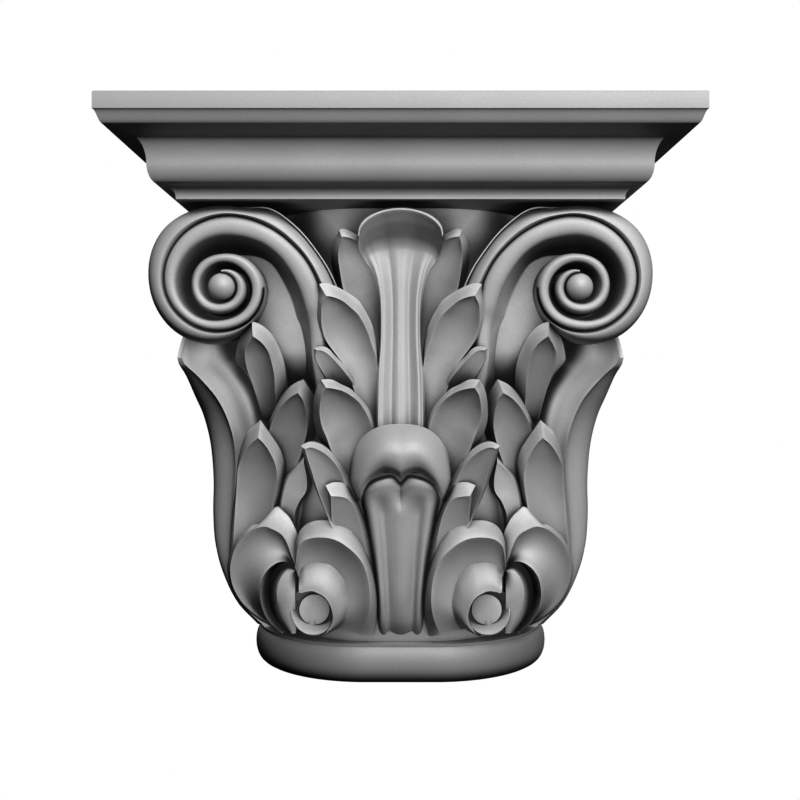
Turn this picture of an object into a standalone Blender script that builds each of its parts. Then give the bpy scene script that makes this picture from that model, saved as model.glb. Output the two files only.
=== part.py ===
"""Corinthian pilaster capital, carved in one block with a flat back.

The origin is on the floor in the middle of the block, +Z is up, the carved front
looks along -Y and the flat back, which meets the wall, looks along +Y.
"""
import math

import bmesh
import bpy
from mathutils import Matrix, Vector

# Driving dimensions, in metres
HEIGHT = 0.402
ABACUS_WIDTH = 0.400
ABACUS_DEPTH = 0.200
TOP_ROUNDING = 0.0016
CORONA_HEIGHT = 0.0115
CYMA_HEIGHT = 0.009
CYMA_PROJECTION = 0.0055
CORONA_OVERHANG = 0.0155
DRIP_FALL = 0.0045
CAVETTO_HEIGHT = 0.017
CAVETTO_PROJECTION = 0.009
OVOLO_HEIGHT = 0.013
OVOLO_PROJECTION = 0.0065
LOWER_CAVETTO_HEIGHT = 0.0075
LOWER_CAVETTO_PROJECTION = 0.0105
FILLET_HEIGHT = 0.0015
ASTRAGAL_HEIGHT = 0.031
ASTRAGAL_PROJECTION = 0.0105
ASTRAGAL_FLAT = 0.006
EYELET_RADIUS = 0.0175
EYE_HOLE_RADIUS = 0.011
EYE_HOLE_DEPTH = 0.013
LEAF_RIM = 0.005
LEAF_BEVEL = 0.004
BOOLEAN_OVERLAP = 0.004

# The abacus is the sum of its mouldings, and the carving fills what is left below it
ABACUS_HEIGHT = (
    CORONA_HEIGHT + CYMA_HEIGHT + DRIP_FALL + CAVETTO_HEIGHT + OVOLO_HEIGHT
    + LOWER_CAVETTO_HEIGHT + FILLET_HEIGHT
)
SOFFIT = HEIGHT - ABACUS_HEIGHT
WALL = ABACUS_DEPTH / 2

# The carving is drawn in units, 338 of them from the floor to the abacus
CARVING_UNITS = 338.0
UNIT = SOFFIT / CARVING_UNITS

# Plan of the bell at the shaft, in units: a flat front and elliptical corners
PLAN_FLAT = 25.0
PLAN_HALF_WIDTH = 103.0
PLAN_FRONT = -3.5
PLAN_DEPTH = 123.0

# Bell: height, forward swell of the front and half width of each section, in units
BELL_SECTIONS = (
    (20, 3, 98), (31, 8, 100), (45, 13, 106), (70, 18, 115), (98, 21, 121), (128, 22, 123),
    (160, 19, 122), (190, 12, 118), (220, 0, 112), (250, -10, 107), (285, -15, 104), (315, -9, 103),
    (336, -1, 103), (345, 0, 103),
)

# Core of the block, hidden behind the carving, in units: half width, front and foot
CORE_HALF_WIDTH = 100.0
CORE_FRONT = 30.0
CORE_FOOT = 150.0

# Corner leaf: rib, side and inner rails from top to bottom as (x, z, y), in units
CORNER_RIB = (
    (150, 250, -14), (153, 236, -17), (153.5, 228, -18), (143, 217, -10), (130, 200, -2),
    (122, 179, 5), (119.5, 157, 9), (121, 128, 10), (123, 100, 10), (123, 74, 8), (107, 45, 8),
)
CORNER_SIDE = (
    (152, 250, -12), (156, 236, -14), (156.5, 228, -13), (154, 219, 0), (149.5, 204, 14),
    (144.4, 189, 24), (140, 168, 29), (138, 142, 30), (138.3, 118, 30), (136.5, 94, 30),
    (130.3, 73.8, 30), (113, 45, 29),
)
CORNER_INNER = (
    (124, 250, 4), (122, 236, 4), (119, 228, 6), (111.5, 217, 8), (105.5, 208, 8), (101, 188, 6),
    (98, 158, 6), (97, 129, 4), (97, 100, 2), (97, 75, 2), (90, 45, 2),
)
CORNER_WALL_WIDTHS = (112, 116, 118, 122, 126, 128, 128, 127, 124, 118, 106)
CORNER_CORE = 70.0
CORNER_CORE_DEPTH = 55.0
FACE_HOLLOW = 3.5

# The side carving mirrors the front about an upright plane by the corner rib, a little lower,
# and leans in towards its foot
CORNER_PLANE_POINT = Vector((120.0, 6.5, 0.0))
CORNER_PLANE_ANGLE = math.radians(60.0)
SIDE_DROP = 1.3
SIDE_LEAN = 0.1
SIDE_LEAN_HEIGHT = 120.0

# Leaf outlines from foot to tip as (x, z) with depths (y) at foot and middle, in units. No two
# roots are the same, so that no two backs lie in one plane.
LEAVES = {
    "upper leaf": {
        "outer": ((36, 268), (46, 284), (49, 301)), "outer_depth": (-14, -19),
        "inner": ((12, 259), (18, 291), (27, 315)), "inner_depth": (-14, -19),
        "tip": (43, 320, -26), "root": 38,
    },
    "stem leaf": {
        "outer": ((33, 207), (53, 237), (59, 261)), "outer_depth": (-22, -34),
        "inner": ((14, 207), (17, 244), (35, 275)), "inner_depth": (-22, -32),
        "tip": (56, 282, -43), "root": 37.4,
    },
    "small leaf": {
        "outer": ((38, 195), (53, 214), (60, 229)), "outer_depth": (-24, -32),
        "inner": ((24, 195), (39, 223), (50, 236)), "inner_depth": (-24, -34),
        "tip": (60, 237, -40), "root": 36.8,
    },
    "middle leaf": {
        "outer": ((36, 151), (55, 171), (60, 194)), "outer_depth": (-32, -36),
        "inner": ((13, 152), (18, 186), (35, 209)), "inner_depth": (-32, -38),
        "tip": (54, 216, -48), "root": 36.2,
    },
    "lower leaf": {
        "outer": ((43, 104), (56, 129), (63, 153)), "outer_depth": (-34, -40),
        "inner": ((25, 105), (35, 145), (50, 168)), "inner_depth": (-36, -44),
        "tip": (68, 170, -52), "root": 35.6,
    },
    "curl leaf": {
        "outer": ((34, 61), (48, 116), (52, 133)), "outer_depth": (-26, -42),
        "inner": ((15, 34), (20, 98), (33, 137)), "inner_depth": (-22, -42),
        "tip": (50, 143, -46), "root": 35,
    },
    "back leaf": {
        "outer": ((72, 98), (71, 126), (65, 136)), "outer_depth": (-24, -29),
        "inner": ((40, 98), (44, 126), (50, 141)), "inner_depth": (-26, -30),
        "tip": (57, 147, -30), "root": 34.4,
    },
    "outer leaf": {
        "outer": ((123, 80), (119, 129), (112, 173)), "outer_depth": (4, 2),
        "inner": ((96, 100), (82, 142), (84, 165)), "inner_depth": (-14, -22),
        "tip": (99, 187, -27), "root": 62,
    },
    "inner leaf": {
        "outer": ((96, 110), (99, 162), (88, 198)), "outer_depth": (-10, -14),
        "inner": ((80, 105), (60, 160), (59, 200)), "inner_depth": (-18, -28),
        "tip": (68, 215, -35), "root": 62.4,
    },
    "scroll leaf": {
        "outer": ((99, 168), (110, 217), (116, 238)), "outer_depth": (-8, -10),
        "inner": ((80, 168), (80, 215), (88, 245)), "inner_depth": (-22, -34),
        "tip": (102, 255, -42), "root": 62.8,
    },
}
SIDE_LEAVES = ("outer leaf", "inner leaf", "scroll leaf")

# Front curl at the foot: rails from its rim to the bulb over the eye, as (x, z) and depth
FRONT_CURL = {
    "rim": (
        ((74, 86), (74.5, 101), (67, 112.5), (57, 117), (38, 108), (20, 88), (14, 64), (18, 30)),
        -26, -28,
    ),
    "crest": (
        ((72, 85), (70, 98.5), (62, 105.5), (50, 107), (34.7, 99.5), (25.2, 86), (21.2, 65.5),
         (25, 30)),
        -36, -33,
    ),
    "hollow": (
        ((71.5, 81), (69.5, 89), (63, 95), (52.5, 97), (41, 91), (32.5, 79), (28.5, 61),
         (31, 30)),
        -30, -24,
    ),
    "bulb foot": (
        ((71, 77), (69, 81), (64.6, 84.6), (54.7, 86), (46, 82), (40.5, 73), (37.5, 57),
         (39, 30)),
        -27, -22,
    ),
    "bulb": (
        ((70.5, 74), (68.5, 75), (64, 76.5), (57, 77), (49.5, 73), (44, 65.5), (41.5, 53),
         (43, 30)),
        -38, -31,
    ),
    "bulb edge": (
        ((70, 71), (68, 67.5), (64, 66.5), (59, 66.5), (52.4, 63.8), (47.6, 58), (45.6, 50.5),
         (47, 30)),
        -34, -28,
    ),
}
FRONT_CURL_ROOT = 33.8

# Corner curl, in the same way
CORNER_CURL = {
    "rim": (
        ((71, 109), (87, 126.5), (98, 113.5), (109, 108), (118.5, 96.5), (124, 76.5),
         (120.5, 60), (110, 43), (94, 28)),
        -20, 8,
    ),
    "crest": (
        ((74, 103), (85, 110), (94, 110), (107, 105), (116, 94.5), (121, 76), (117.5, 61),
         (108, 45), (92, 28)),
        -21, 4,
    ),
    "bowl": (
        ((76.5, 97), (84.5, 99), (91, 97), (99, 92), (106, 84), (109, 71), (106, 59), (99, 45),
         (88, 28)),
        -13, 1,
    ),
    "inner crest": (
        ((77, 91), (83.5, 91), (89, 87), (95, 80), (98, 72), (99, 63), (98, 54), (93, 42),
         (84, 28)),
        -19, -14,
    ),
    "groove": (
        ((76.5, 86), (82.5, 87), (88, 83), (92.5, 77), (95.5, 70), (96.5, 62), (95.5, 54),
         (90.5, 42), (82, 28)),
        -9, -8,
    ),
    "bulb foot": (
        ((75.5, 81), (81, 82), (86.5, 78), (90, 72), (91.5, 66), (91.5, 60), (90, 53), (86, 42),
         (79, 28)),
        -12, -12,
    ),
    "bulb": (
        ((74, 74), (77, 75), (79, 73.5), (80, 71), (80, 68), (80, 65), (79, 60), (77, 48),
         (73, 28)),
        -24, -20,
    ),
}
CORNER_CURL_ROOT = 63.2

# Ground of the drilled eye between the curls, in units
EYELET_CENTRE = Vector((61.0, 53.5))
EYELET_FRONT = -28.5
EYELET_BACK = 31.4

# Stems, hood and boss in the middle: height, half width and front depth, in units
UPPER_STEM = (
    (168, 19, -36), (185, 18.5, -34), (215, 16.5, -27), (245, 15, -24), (275, 16.5, -24),
    (296, 21, -25), (310, 27, -28), (316, 29.5, -34), (323, 27, -40), (329, 19, -43),
)
HOOD_THICKNESS = 4.0
HOOD_BACK = -6.0
FLUTE_DEPTH = 2.5
LOWER_STEM = (
    (26, 15, -15), (45, 16, -20), (62, 17, -25), (82, 19, -29), (100, 21, -32), (118, 24, -35),
    (135, 27, -38), (152, 27, -42),
)
BOSS_SIDE = -24.0
BOSS_DROOP = 3.0
BOSS = ((142, 34, -44), (148, 36, -60), (158, 35, -60), (168, 30, -58), (177, 21, -53), (184, 4, -42))
UPPER_STEM_ROOT = 33.2
LOWER_STEM_ROOT = 32.6
BOSS_ROOT = 32.0

# Volute: eye, radii at each quarter turn from the top, and the rails of its stem, in units
VOLUTE_EYE = (122.0, 278.5)
VOLUTE_OUTER = (61.0, 51.3, 37.5, 29.6, 23.7, 22.0, 19.3, 17.9, 12.4)
VOLUTE_GROOVE = (49.4, 40.6, 30.8, 25.0, 20.3, 17.5, 15.2, 14.2, 11.2)
VOLUTE_CHANNEL = (36.5, 32.0, 22.7, 20.6, 16.9, 13.0, 11.0, 10.4, 10.0)
STEM_OUTER = ((36, 205), (38, 253), (44, 280), (55, 301), (69, 318), (92, 335))
STEM_GROOVE = ((46, 205), (50, 255), (56, 281), (65, 298), (77, 311), (96, 324))
STEM_CHANNEL = ((61, 205), (64, 256), (71, 280), (78, 293), (88, 304), (104, 313))
STEM_FIELD = ((69, 205), (72, 256), (79, 280), (86, 291), (93, 299), (104, 303))
STEM_DEPTHS = (-26, -32, -36, -39, -41, -42)
SCROLL_DEPTHS = (-43, -43, -43, -44, -45, -46, -46, -47, -48)
FIELD_DEPTH = -30.0
FIELD_BACK = 48.0
STEM_ROOT = 45.0
SCROLL_ROOT = -18.0
ROLL_HEIGHT = 6.0
EYE_RADIUS = 10.4
EYE_PROFILE = ((1.0, -17), (1.0, -45), (0.75, -50))
EYE_PROJECTION = 52.0
EYE_FLAT = 0.3
BOLSTER_RADII = (59.5, 50.5, 36.5, 46.0)
BOLSTER_WAIST = 0.86
BOLSTER_TOP = 58.0
BOLSTER_PROFILE = (
    (-30, 1.0), (-18, 1.0), (-6, 0.95), (14, 0.9), (34, BOLSTER_WAIST), (38, 0.93), (50, 0.93),
    (54, BOLSTER_WAIST), (74, 0.9),
)
BOLSTER_BACK = 0.97
FIELD_PLATE = ((56.7, 190), (57.3, 260), (72, 296), (96, 318), (128, 318), (128, 240), (112, 190))


def spline(points, count):
    """Return count + 1 points evenly spaced on a smooth curve through the given points."""
    points = [Vector(p) for p in points]
    knots = [2 * points[0] - points[1], *points, 2 * points[-1] - points[-2]]
    fine = []
    for a, b, c, d in zip(knots, knots[1:], knots[2:], knots[3:]):
        for step in range(12):
            t = step / 12
            fine.append(0.5 * (2 * b + (c - a) * t + (2 * a - 5 * b + 4 * c - d) * t ** 2
                               + (3 * b - a - 3 * c + d) * t ** 3))
    fine.append(points[-1])
    lengths = [0.0]
    for p, q in zip(fine, fine[1:]):
        lengths.append(lengths[-1] + (q - p).length)
    result = []
    k = 0
    for i in range(count + 1):
        target = lengths[-1] * i / count
        while k < len(fine) - 2 and lengths[k + 1] < target:
            k += 1
        share = (target - lengths[k]) / max(lengths[k + 1] - lengths[k], 1e-9)
        result.append(fine[k].lerp(fine[k + 1], min(max(share, 0.0), 1.0)))
    return result


def quadratic(start, middle, end, t):
    """Return the parabola through three values at t = 0, 0.5 and 1."""
    return start * (1 - t) * (1 - 2 * t) + middle * 4 * t * (1 - t) + end * t * (2 * t - 1)


def solid(name, vertices, faces, collection):
    """Make one closed object from faces, with its doubles merged and its faces outwards."""
    mesh = bpy.data.meshes.new(name)
    bm = bmesh.new()
    made = [bm.verts.new(v) for v in vertices]
    for face in faces:
        bm.faces.new([made[i] for i in face])
    bmesh.ops.remove_doubles(bm, verts=bm.verts, dist=0.00002)
    bmesh.ops.dissolve_degenerate(bm, edges=bm.edges, dist=0.00001)
    bmesh.ops.recalc_face_normals(bm, faces=bm.faces)
    bm.to_mesh(mesh)
    bm.free()
    obj = bpy.data.objects.new(name, mesh)
    collection.objects.link(obj)
    return obj


def loft(name, rings, collection):
    """Join rings of as many points each by quads and close both ends."""
    size = len(rings[0])
    vertices = [v for ring in rings for v in ring]
    faces = []
    for j in range(len(rings) - 1):
        for i in range(size):
            k = (i + 1) % size
            faces.append((j * size + i, j * size + k, (j + 1) * size + k, (j + 1) * size + i))
    faces.append(tuple(range(size)))
    faces.append(tuple(range((len(rings) - 1) * size, len(rings) * size)))
    return solid(name, vertices, faces, collection)


def relief(name, grid, root, collection, pointed=False):
    """Close a carved surface, given as rows of points in units, by walls back to a depth.

    The depth, root, is one number or one for each row. The last row of a pointed surface
    folds together at a tip, so it has no wall.
    """
    rows = len(grid)
    columns = len(grid[0])
    roots = root if isinstance(root, list) else [root] * rows
    front = [Vector(p) * UNIT for row in grid for p in row]
    back = [Vector((p.x, depth, p.z)) * UNIT for row, depth in zip(grid, roots) for p in row]
    offset = len(front)
    faces = []
    for j in range(rows - 1):
        for i in range(columns - 1):
            quad = (j * columns + i, j * columns + i + 1, (j + 1) * columns + i + 1, (j + 1) * columns + i)
            faces.append(quad)
            faces.append(tuple(offset + k for k in reversed(quad)))
    left = [j * columns for j in range(rows - 1, -1, -1)]
    right = [j * columns + columns - 1 for j in range(1, rows)]
    border = left + list(range(1, columns)) + right
    if not pointed:
        border += [(rows - 1) * columns + i for i in range(columns - 2, -1, -1)]
    for a, b in zip(border, border[1:]):
        faces.append((a, offset + a, offset + b, b))
    return solid(name, front + back, faces, collection)


def plan_outline(front, half_width, steps):
    """Return the right half of a plan outline, from the middle of the front to behind the wall."""
    back = WALL / UNIT + 5
    depth = max(PLAN_DEPTH, back - front)
    last = math.acos(1 - (back - front) / depth)
    points = [Vector((0, front, 0))]
    for i in range(steps + 1):
        angle = last * i / steps
        x = PLAN_FLAT + (half_width - PLAN_FLAT) * math.sin(angle)
        y = front + depth * (1 - math.cos(angle))
        points.append(Vector((x, y, 0)))
    return points


def closed_plan(front, half_width, z, steps):
    """Return a whole plan ring at height z, in metres."""
    right = plan_outline(front, half_width, steps)
    left = [Vector((-p.x, p.y, 0)) for p in reversed(right[1:])]
    return [Vector((p.x, p.y, z)) * UNIT for p in right + left]


def make_bell(collection):
    """Make the body that carries the carving, swelling in its lower half."""
    rings = [closed_plan(PLAN_FRONT - swell, half_width, z, 7) for z, swell, half_width in BELL_SECTIONS]
    return loft("bell", rings, collection)


def make_core(collection):
    """Make the plain block behind the carving, which leaves no pocket between the pieces."""
    top = CARVING_UNITS + BOOLEAN_OVERLAP / UNIT
    back = WALL / UNIT + 6
    rings = []
    for z in (CORE_FOOT, top):
        rings.append([Vector((x, y, z)) * UNIT for x, y in (
            (-CORE_HALF_WIDTH, CORE_FRONT), (CORE_HALF_WIDTH, CORE_FRONT),
            (CORE_HALF_WIDTH, back), (-CORE_HALF_WIDTH, back),
        )])
    return loft("core", rings, collection)


def make_astragal(collection):
    """Make the rounded ring at the foot, on the plan of the shaft."""
    half = ASTRAGAL_HEIGHT / 2
    projection = ASTRAGAL_PROJECTION / UNIT
    profile = [(projection - ASTRAGAL_FLAT / UNIT, 0.0)]
    for i in range(1, 8):
        angle = -math.pi / 2 + math.pi * i / 8
        out = projection - ASTRAGAL_FLAT / UNIT * (1 - math.cos(angle))
        profile.append((out, half + half * math.sin(angle)))
    profile.append((projection - ASTRAGAL_FLAT / UNIT, ASTRAGAL_HEIGHT))
    rings = []
    for out, z in profile:
        rings.append(closed_plan(PLAN_FRONT - out, PLAN_HALF_WIDTH + out, z / UNIT, 9))
    return loft("astragal", rings, collection)


def abacus_profile():
    """Return the abacus profile from the top down as (inset, height)."""
    z = HEIGHT
    inset = 0.0
    points = [(TOP_ROUNDING, z), (TOP_ROUNDING * 0.3, z - TOP_ROUNDING * 0.3), (0.0, z - TOP_ROUNDING)]
    z -= CORONA_HEIGHT
    points.append((inset, z))
    for i in range(1, 5):
        share = i / 4
        wave = share - math.sin(2 * math.pi * share) / (2 * math.pi) * 0.6
        points.append((CYMA_PROJECTION * share, z - CYMA_HEIGHT * wave))
    z -= CYMA_HEIGHT
    inset = CYMA_PROJECTION + CORONA_OVERHANG
    z -= DRIP_FALL
    points.append((inset, z))
    for i in range(1, 5):
        angle = math.pi / 2 * i / 4
        points.append((inset + CAVETTO_PROJECTION * math.sin(angle),
                       z - CAVETTO_HEIGHT * (1 - math.cos(angle))))
    inset += CAVETTO_PROJECTION
    z -= CAVETTO_HEIGHT
    for i in range(1, 5):
        angle = math.pi / 2 * i / 4
        points.append((inset + OVOLO_PROJECTION * (1 - math.cos(angle)), z - OVOLO_HEIGHT * math.sin(angle)))
    inset += OVOLO_PROJECTION
    z -= OVOLO_HEIGHT
    for i in range(1, 4):
        angle = math.pi / 2 * i / 3
        points.append((inset + LOWER_CAVETTO_PROJECTION * math.sin(angle),
                       z - LOWER_CAVETTO_HEIGHT * (1 - math.cos(angle))))
    inset += LOWER_CAVETTO_PROJECTION
    z -= LOWER_CAVETTO_HEIGHT
    points.append((inset, z - FILLET_HEIGHT))
    return points


def make_abacus(collection):
    """Make the moulded slab on top, mitred at its corners."""
    back = WALL + BOOLEAN_OVERLAP
    rings = []
    for inset, z in abacus_profile():
        x = ABACUS_WIDTH / 2 - inset
        y = -ABACUS_DEPTH / 2 + inset
        rings.append([Vector((-x, y, z)), Vector((x, y, z)), Vector((x, back, z)), Vector((-x, back, z))])
    return loft("abacus", rings, collection)


def corner_reflection():
    """Return the reflection about the upright plane through the corner rib, in metres."""
    point = CORNER_PLANE_POINT * UNIT
    drop = Vector((-SIDE_LEAN * SIDE_LEAN_HEIGHT * UNIT, 0, -SIDE_DROP * UNIT))
    normal = Vector((math.cos(CORNER_PLANE_ANGLE), math.sin(CORNER_PLANE_ANGLE), 0))
    flip = Matrix.Scale(-1, 4, normal)
    lean = Matrix.Identity(4)
    lean[0][2] = SIDE_LEAN
    return lean @ Matrix.Translation(point + drop) @ flip @ Matrix.Translation(-point)


def reflected(obj, collection):
    """Copy an object to the side face, mirrored about the corner rib."""
    mesh = obj.data.copy()
    mesh.transform(corner_reflection())
    mesh.flip_normals()
    copy = bpy.data.objects.new(obj.name + " side", mesh)
    collection.objects.link(copy)
    return copy


def make_corner_leaf(collection):
    """Make the tall leaf at the corner, from its inner edge over the rib to the wall."""
    count = 11
    rib = spline([(x, y, z) for x, z, y in CORNER_RIB], count)
    side = spline([(x, y, z) for x, z, y in CORNER_SIDE], count)
    inner = spline([(x, y, z) for x, z, y in CORNER_INNER], count)
    widths = spline([(w, i, 0) for i, w in enumerate(CORNER_WALL_WIDTHS)], count)
    back = WALL / UNIT + 6
    rings = []
    for a, b, c, width in zip(inner, rib, side, widths):
        hollow = a.lerp(b, 0.5) + Vector((0, FACE_HOLLOW, 0))
        rim = a.lerp(b, 0.15) - Vector((0, 2, 0))
        flank = b.lerp(c, 0.5) + Vector((1.5, -1.0, 0))
        wall = Vector((width.x, back, c.z))
        shoulder = c.lerp(wall, 0.5) + Vector((3, 0, 0))
        core = Vector((CORNER_CORE, back, a.z))
        deep = Vector((CORNER_CORE, a.y + CORNER_CORE_DEPTH, a.z))
        rings.append([p * UNIT for p in (a, rim, hollow, b, flank, c, shoulder, wall, core, deep)])
    return loft("corner leaf", rings, collection)


def leaf_grid(leaf, rows, columns):
    """Return the carved face of one leaf: bevelled edges, a crisp rim and a hollow face."""
    tip = Vector(leaf["tip"])

    def edge(side):
        foot, middle = leaf[side + "_depth"]
        flat = spline([*leaf[side], (tip.x, tip.y)], rows * 4)
        return [Vector((p.x, quadratic(foot, middle, tip.z, i / (rows * 4)), p.y))
                for i, p in enumerate(flat)]

    outer = edge("outer")
    inner = edge("inner")
    rim = LEAF_RIM / UNIT
    bevel = Vector((0, -LEAF_BEVEL / UNIT, 0))
    length = (outer[-1] - outer[0]).length
    grid = []
    for j in range(rows + 1):
        at = j / rows
        crest = at * (1 - 1.5 * rim / length) * rows * 4
        k = min(int(crest), rows * 4 - 1)
        a = outer[k].lerp(outer[k + 1], crest - k)
        b = inner[k].lerp(inner[k + 1], crest - k)
        width = (b - a).length
        inset = min(0.5, rim / max(width, 1e-6))
        if j == rows:
            inset = 0.5
        row = [outer[j * 4]]
        for i in range(columns + 1):
            across = inset + (1 - 2 * inset) * i / columns
            dish = 4 * (i / columns) * (1 - i / columns) * 0.17 * width * (1 - 2 * inset)
            row.append(a.lerp(b, across) + bevel + Vector((0, dish, 0)))
        row.append(inner[j * 4])
        grid.append(row)
    return grid


def curl_grid(rails, rows):
    """Return the surface of a curl through its rails, each with a depth at both ends."""
    lines = []
    for points, start, end in rails.values():
        flat = spline(points, rows)
        lines.append([Vector((p.x, start + (end - start) * i / rows, p.y)) for i, p in enumerate(flat)])
    return [list(row) for row in zip(*lines)]


def ridged(sections, ridges, relief_depth):
    """Return a centre surface whose front swells and carries upright ridges."""
    grid = []
    for z, half_width, front in sections:
        row = []
        for share, lift in ridges:
            swell = math.sqrt(max(0.0, 1 - (share * 0.92) ** 2))
            y = front * swell + (1 - swell) * front * 0.35 - lift * relief_depth
            row.append(Vector((share * half_width, y, z)))
        grid.append(row)
    return grid


def make_upper_stem(collection):
    """Make the fluted stem that flares into the hood under the abacus."""
    ridges = [(-1, 0), (-0.75, 0.9), (-0.5, 0), (-0.22, 1), (0, 0.35)]
    ridges += [(-share, lift) for share, lift in reversed(ridges[:-1])]
    grid = ridged(UPPER_STEM, ridges, FLUTE_DEPTH)
    top = [Vector((p.x, p.y + 1, p.z + HOOD_THICKNESS)) for p in grid[-1]]
    back = [Vector((p.x, HOOD_BACK, p.z + HOOD_THICKNESS + 1)) for p in grid[-1]]
    return relief("upper stem", [*grid, top, back], UPPER_STEM_ROOT, collection)


def make_lower_stem(collection):
    """Make the ribbed stem between the curls."""
    ridges = [(-1, 0), (-0.7, 1), (-0.45, 0), (-0.15, 1), (0, 0.5)]
    ridges += [(-share, lift) for share, lift in reversed(ridges[:-1])]
    return relief("lower stem", ridged(LOWER_STEM, ridges, FLUTE_DEPTH), LOWER_STEM_ROOT, collection)


def make_boss(collection):
    """Make the overhanging boss between the stems."""
    shares = [math.sin(math.pi / 2 * i / 4) for i in range(-4, 5)]
    grid = []
    for z, half_width, front in BOSS:
        row = []
        for share in shares:
            y = BOSS_SIDE + (front - BOSS_SIDE) * math.sqrt(max(0.0, 1 - share ** 2))
            row.append(Vector((share * half_width, y, z - BOSS_DROOP * share ** 2)))
        grid.append(row)
    return relief("boss", grid, BOSS_ROOT, collection)


def radius_at(radii, turn):
    """Return the radius at a number of quarter turns, smoothly between the given ones."""
    k = min(int(turn), len(radii) - 2)
    t = turn - k
    before = radii[k - 1] if k else 2 * radii[0] - radii[1]
    after = radii[k + 2] if k + 2 < len(radii) else radii[-1]
    a, b, c, d = before, radii[k], radii[k + 1], after
    return 0.5 * (2 * b + (c - a) * t + (2 * a - 5 * b + 4 * c - d) * t ** 2
                  + (3 * b - a - 3 * c + d) * t ** 3)


def scroll_point(radius, turn):
    """Return the point at a radius from the eye and a number of quarter turns from the top."""
    angle = math.pi / 2 * turn
    return (VOLUTE_EYE[0] + radius * math.sin(angle), VOLUTE_EYE[1] + radius * math.cos(angle))


def volute_rows(stem_rows, steps_per_quarter):
    """Return stations along the volute: outer edge, groove, channel and floor points with a depth."""
    rows = []
    rails = [spline(r, stem_rows) for r in (STEM_OUTER, STEM_GROOVE, STEM_CHANNEL, STEM_FIELD)]
    depths = spline([(d, i) for i, d in enumerate(STEM_DEPTHS)], stem_rows)
    for i in range(stem_rows):
        rows.append(([tuple(rail[i]) for rail in rails], depths[i].x))
    last = len(VOLUTE_OUTER) - 1
    for i in range(last * steps_per_quarter + 1):
        turn = i / steps_per_quarter
        outer = radius_at(VOLUTE_OUTER, turn)
        groove = radius_at(VOLUTE_GROOVE, turn)
        channel = radius_at(VOLUTE_CHANNEL, turn)
        if turn + 4 <= last:
            floor = min(radius_at(VOLUTE_OUTER, turn + 4) + 1.0, channel - 0.6)
        else:
            floor = channel - 0.6
        points = [scroll_point(r, turn) for r in (outer, groove, channel, floor)]
        rows.append((points, radius_at(SCROLL_DEPTHS, turn)))
    return rows


def make_volute(collection):
    """Make the rolled band of the volute, from its stem to the eye."""
    stem_rows = 5
    grid = []
    for (outer, groove, channel, floor), depth in volute_rows(stem_rows, 3):
        first = ((outer[0] + groove[0]) / 2, (outer[1] + groove[1]) / 2)
        second = ((groove[0] + channel[0]) / 2, (groove[1] + channel[1]) / 2)
        floor_depth = max(FIELD_DEPTH - 0.3, depth + 10)
        row = []
        for (x, z), y in ((outer, depth + ROLL_HEIGHT), (first, depth), (groove, depth + 0.6 * ROLL_HEIGHT),
                          (second, depth), (channel, depth + 0.6 * ROLL_HEIGHT), (floor, floor_depth)):
            row.append(Vector((x, y, z)))
        grid.append(row)
    roots = [STEM_ROOT] * stem_rows + [SCROLL_ROOT] * (len(grid) - stem_rows)
    return relief("volute", grid, roots, collection)


def make_eye(collection):
    """Make the domed eye of the volute."""
    sides = 12
    rings = []
    for share, y in (*EYE_PROFILE, (EYE_FLAT, -EYE_PROJECTION)):
        ring = []
        for i in range(sides):
            x, z = scroll_point(EYE_RADIUS * share, 4 * (i + 0.5) / sides)
            ring.append(Vector((x, y, z)) * UNIT)
        rings.append(ring)
    return loft("volute eye", rings, collection)


def make_bolster(collection):
    """Make the round side of the volute, waisted on its way back to the wall."""
    sides = 20
    back = WALL / UNIT + 7
    rings = []
    for y, scale in (*BOLSTER_PROFILE, (back, BOLSTER_BACK)):
        ring = []
        for i in range(sides):
            turn = 4 * i / sides
            radius = radius_at((*BOLSTER_RADII, BOLSTER_RADII[0]), turn)
            x, z = scroll_point(radius * scale, turn)
            ring.append(Vector((x, y, z + (1 - scale) * BOLSTER_TOP)) * UNIT)
        rings.append(ring)
    return loft("bolster", rings, collection)


def make_field(collection):
    """Make the flat ground between the volute and its stem."""
    rings = []
    for y in (FIELD_DEPTH - 0.4, FIELD_BACK):
        rings.append([Vector((x, y, z)) * UNIT for x, z in FIELD_PLATE])
    return loft("field", rings, collection)


def round_solid(name, centre, profile, sides, collection):
    """Make a round solid about a front-to-back axis from (radius, depth) pairs in metres."""
    rings = []
    for radius, y in profile:
        ring = []
        for i in range(sides):
            angle = 2 * math.pi * (i + 0.5) / sides
            ring.append(Vector((centre[0] + radius * math.cos(angle), y, centre[1] + radius * math.sin(angle))))
        rings.append(ring)
    return loft(name, rings, collection)


def make_eyelet(collection):
    """Make the round ground of the drilled eye between the curls."""
    profile = ((EYELET_RADIUS, EYELET_BACK * UNIT), (EYELET_RADIUS, EYELET_FRONT * UNIT))
    return round_solid("eyelet", EYELET_CENTRE * UNIT, profile, 14, collection)


def make_eye_drill(collection):
    """Make the countersunk drill of that eye."""
    front = EYELET_FRONT * UNIT
    spread = EYELET_RADIUS * 0.95 - EYE_HOLE_RADIUS
    profile = (
        (EYE_HOLE_RADIUS, front + EYE_HOLE_DEPTH), (EYE_HOLE_RADIUS, front + spread),
        (EYE_HOLE_RADIUS + spread * 1.4, front - spread * 0.4),
    )
    return round_solid("eye drill", EYELET_CENTRE * UNIT, profile, 14, collection)


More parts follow.
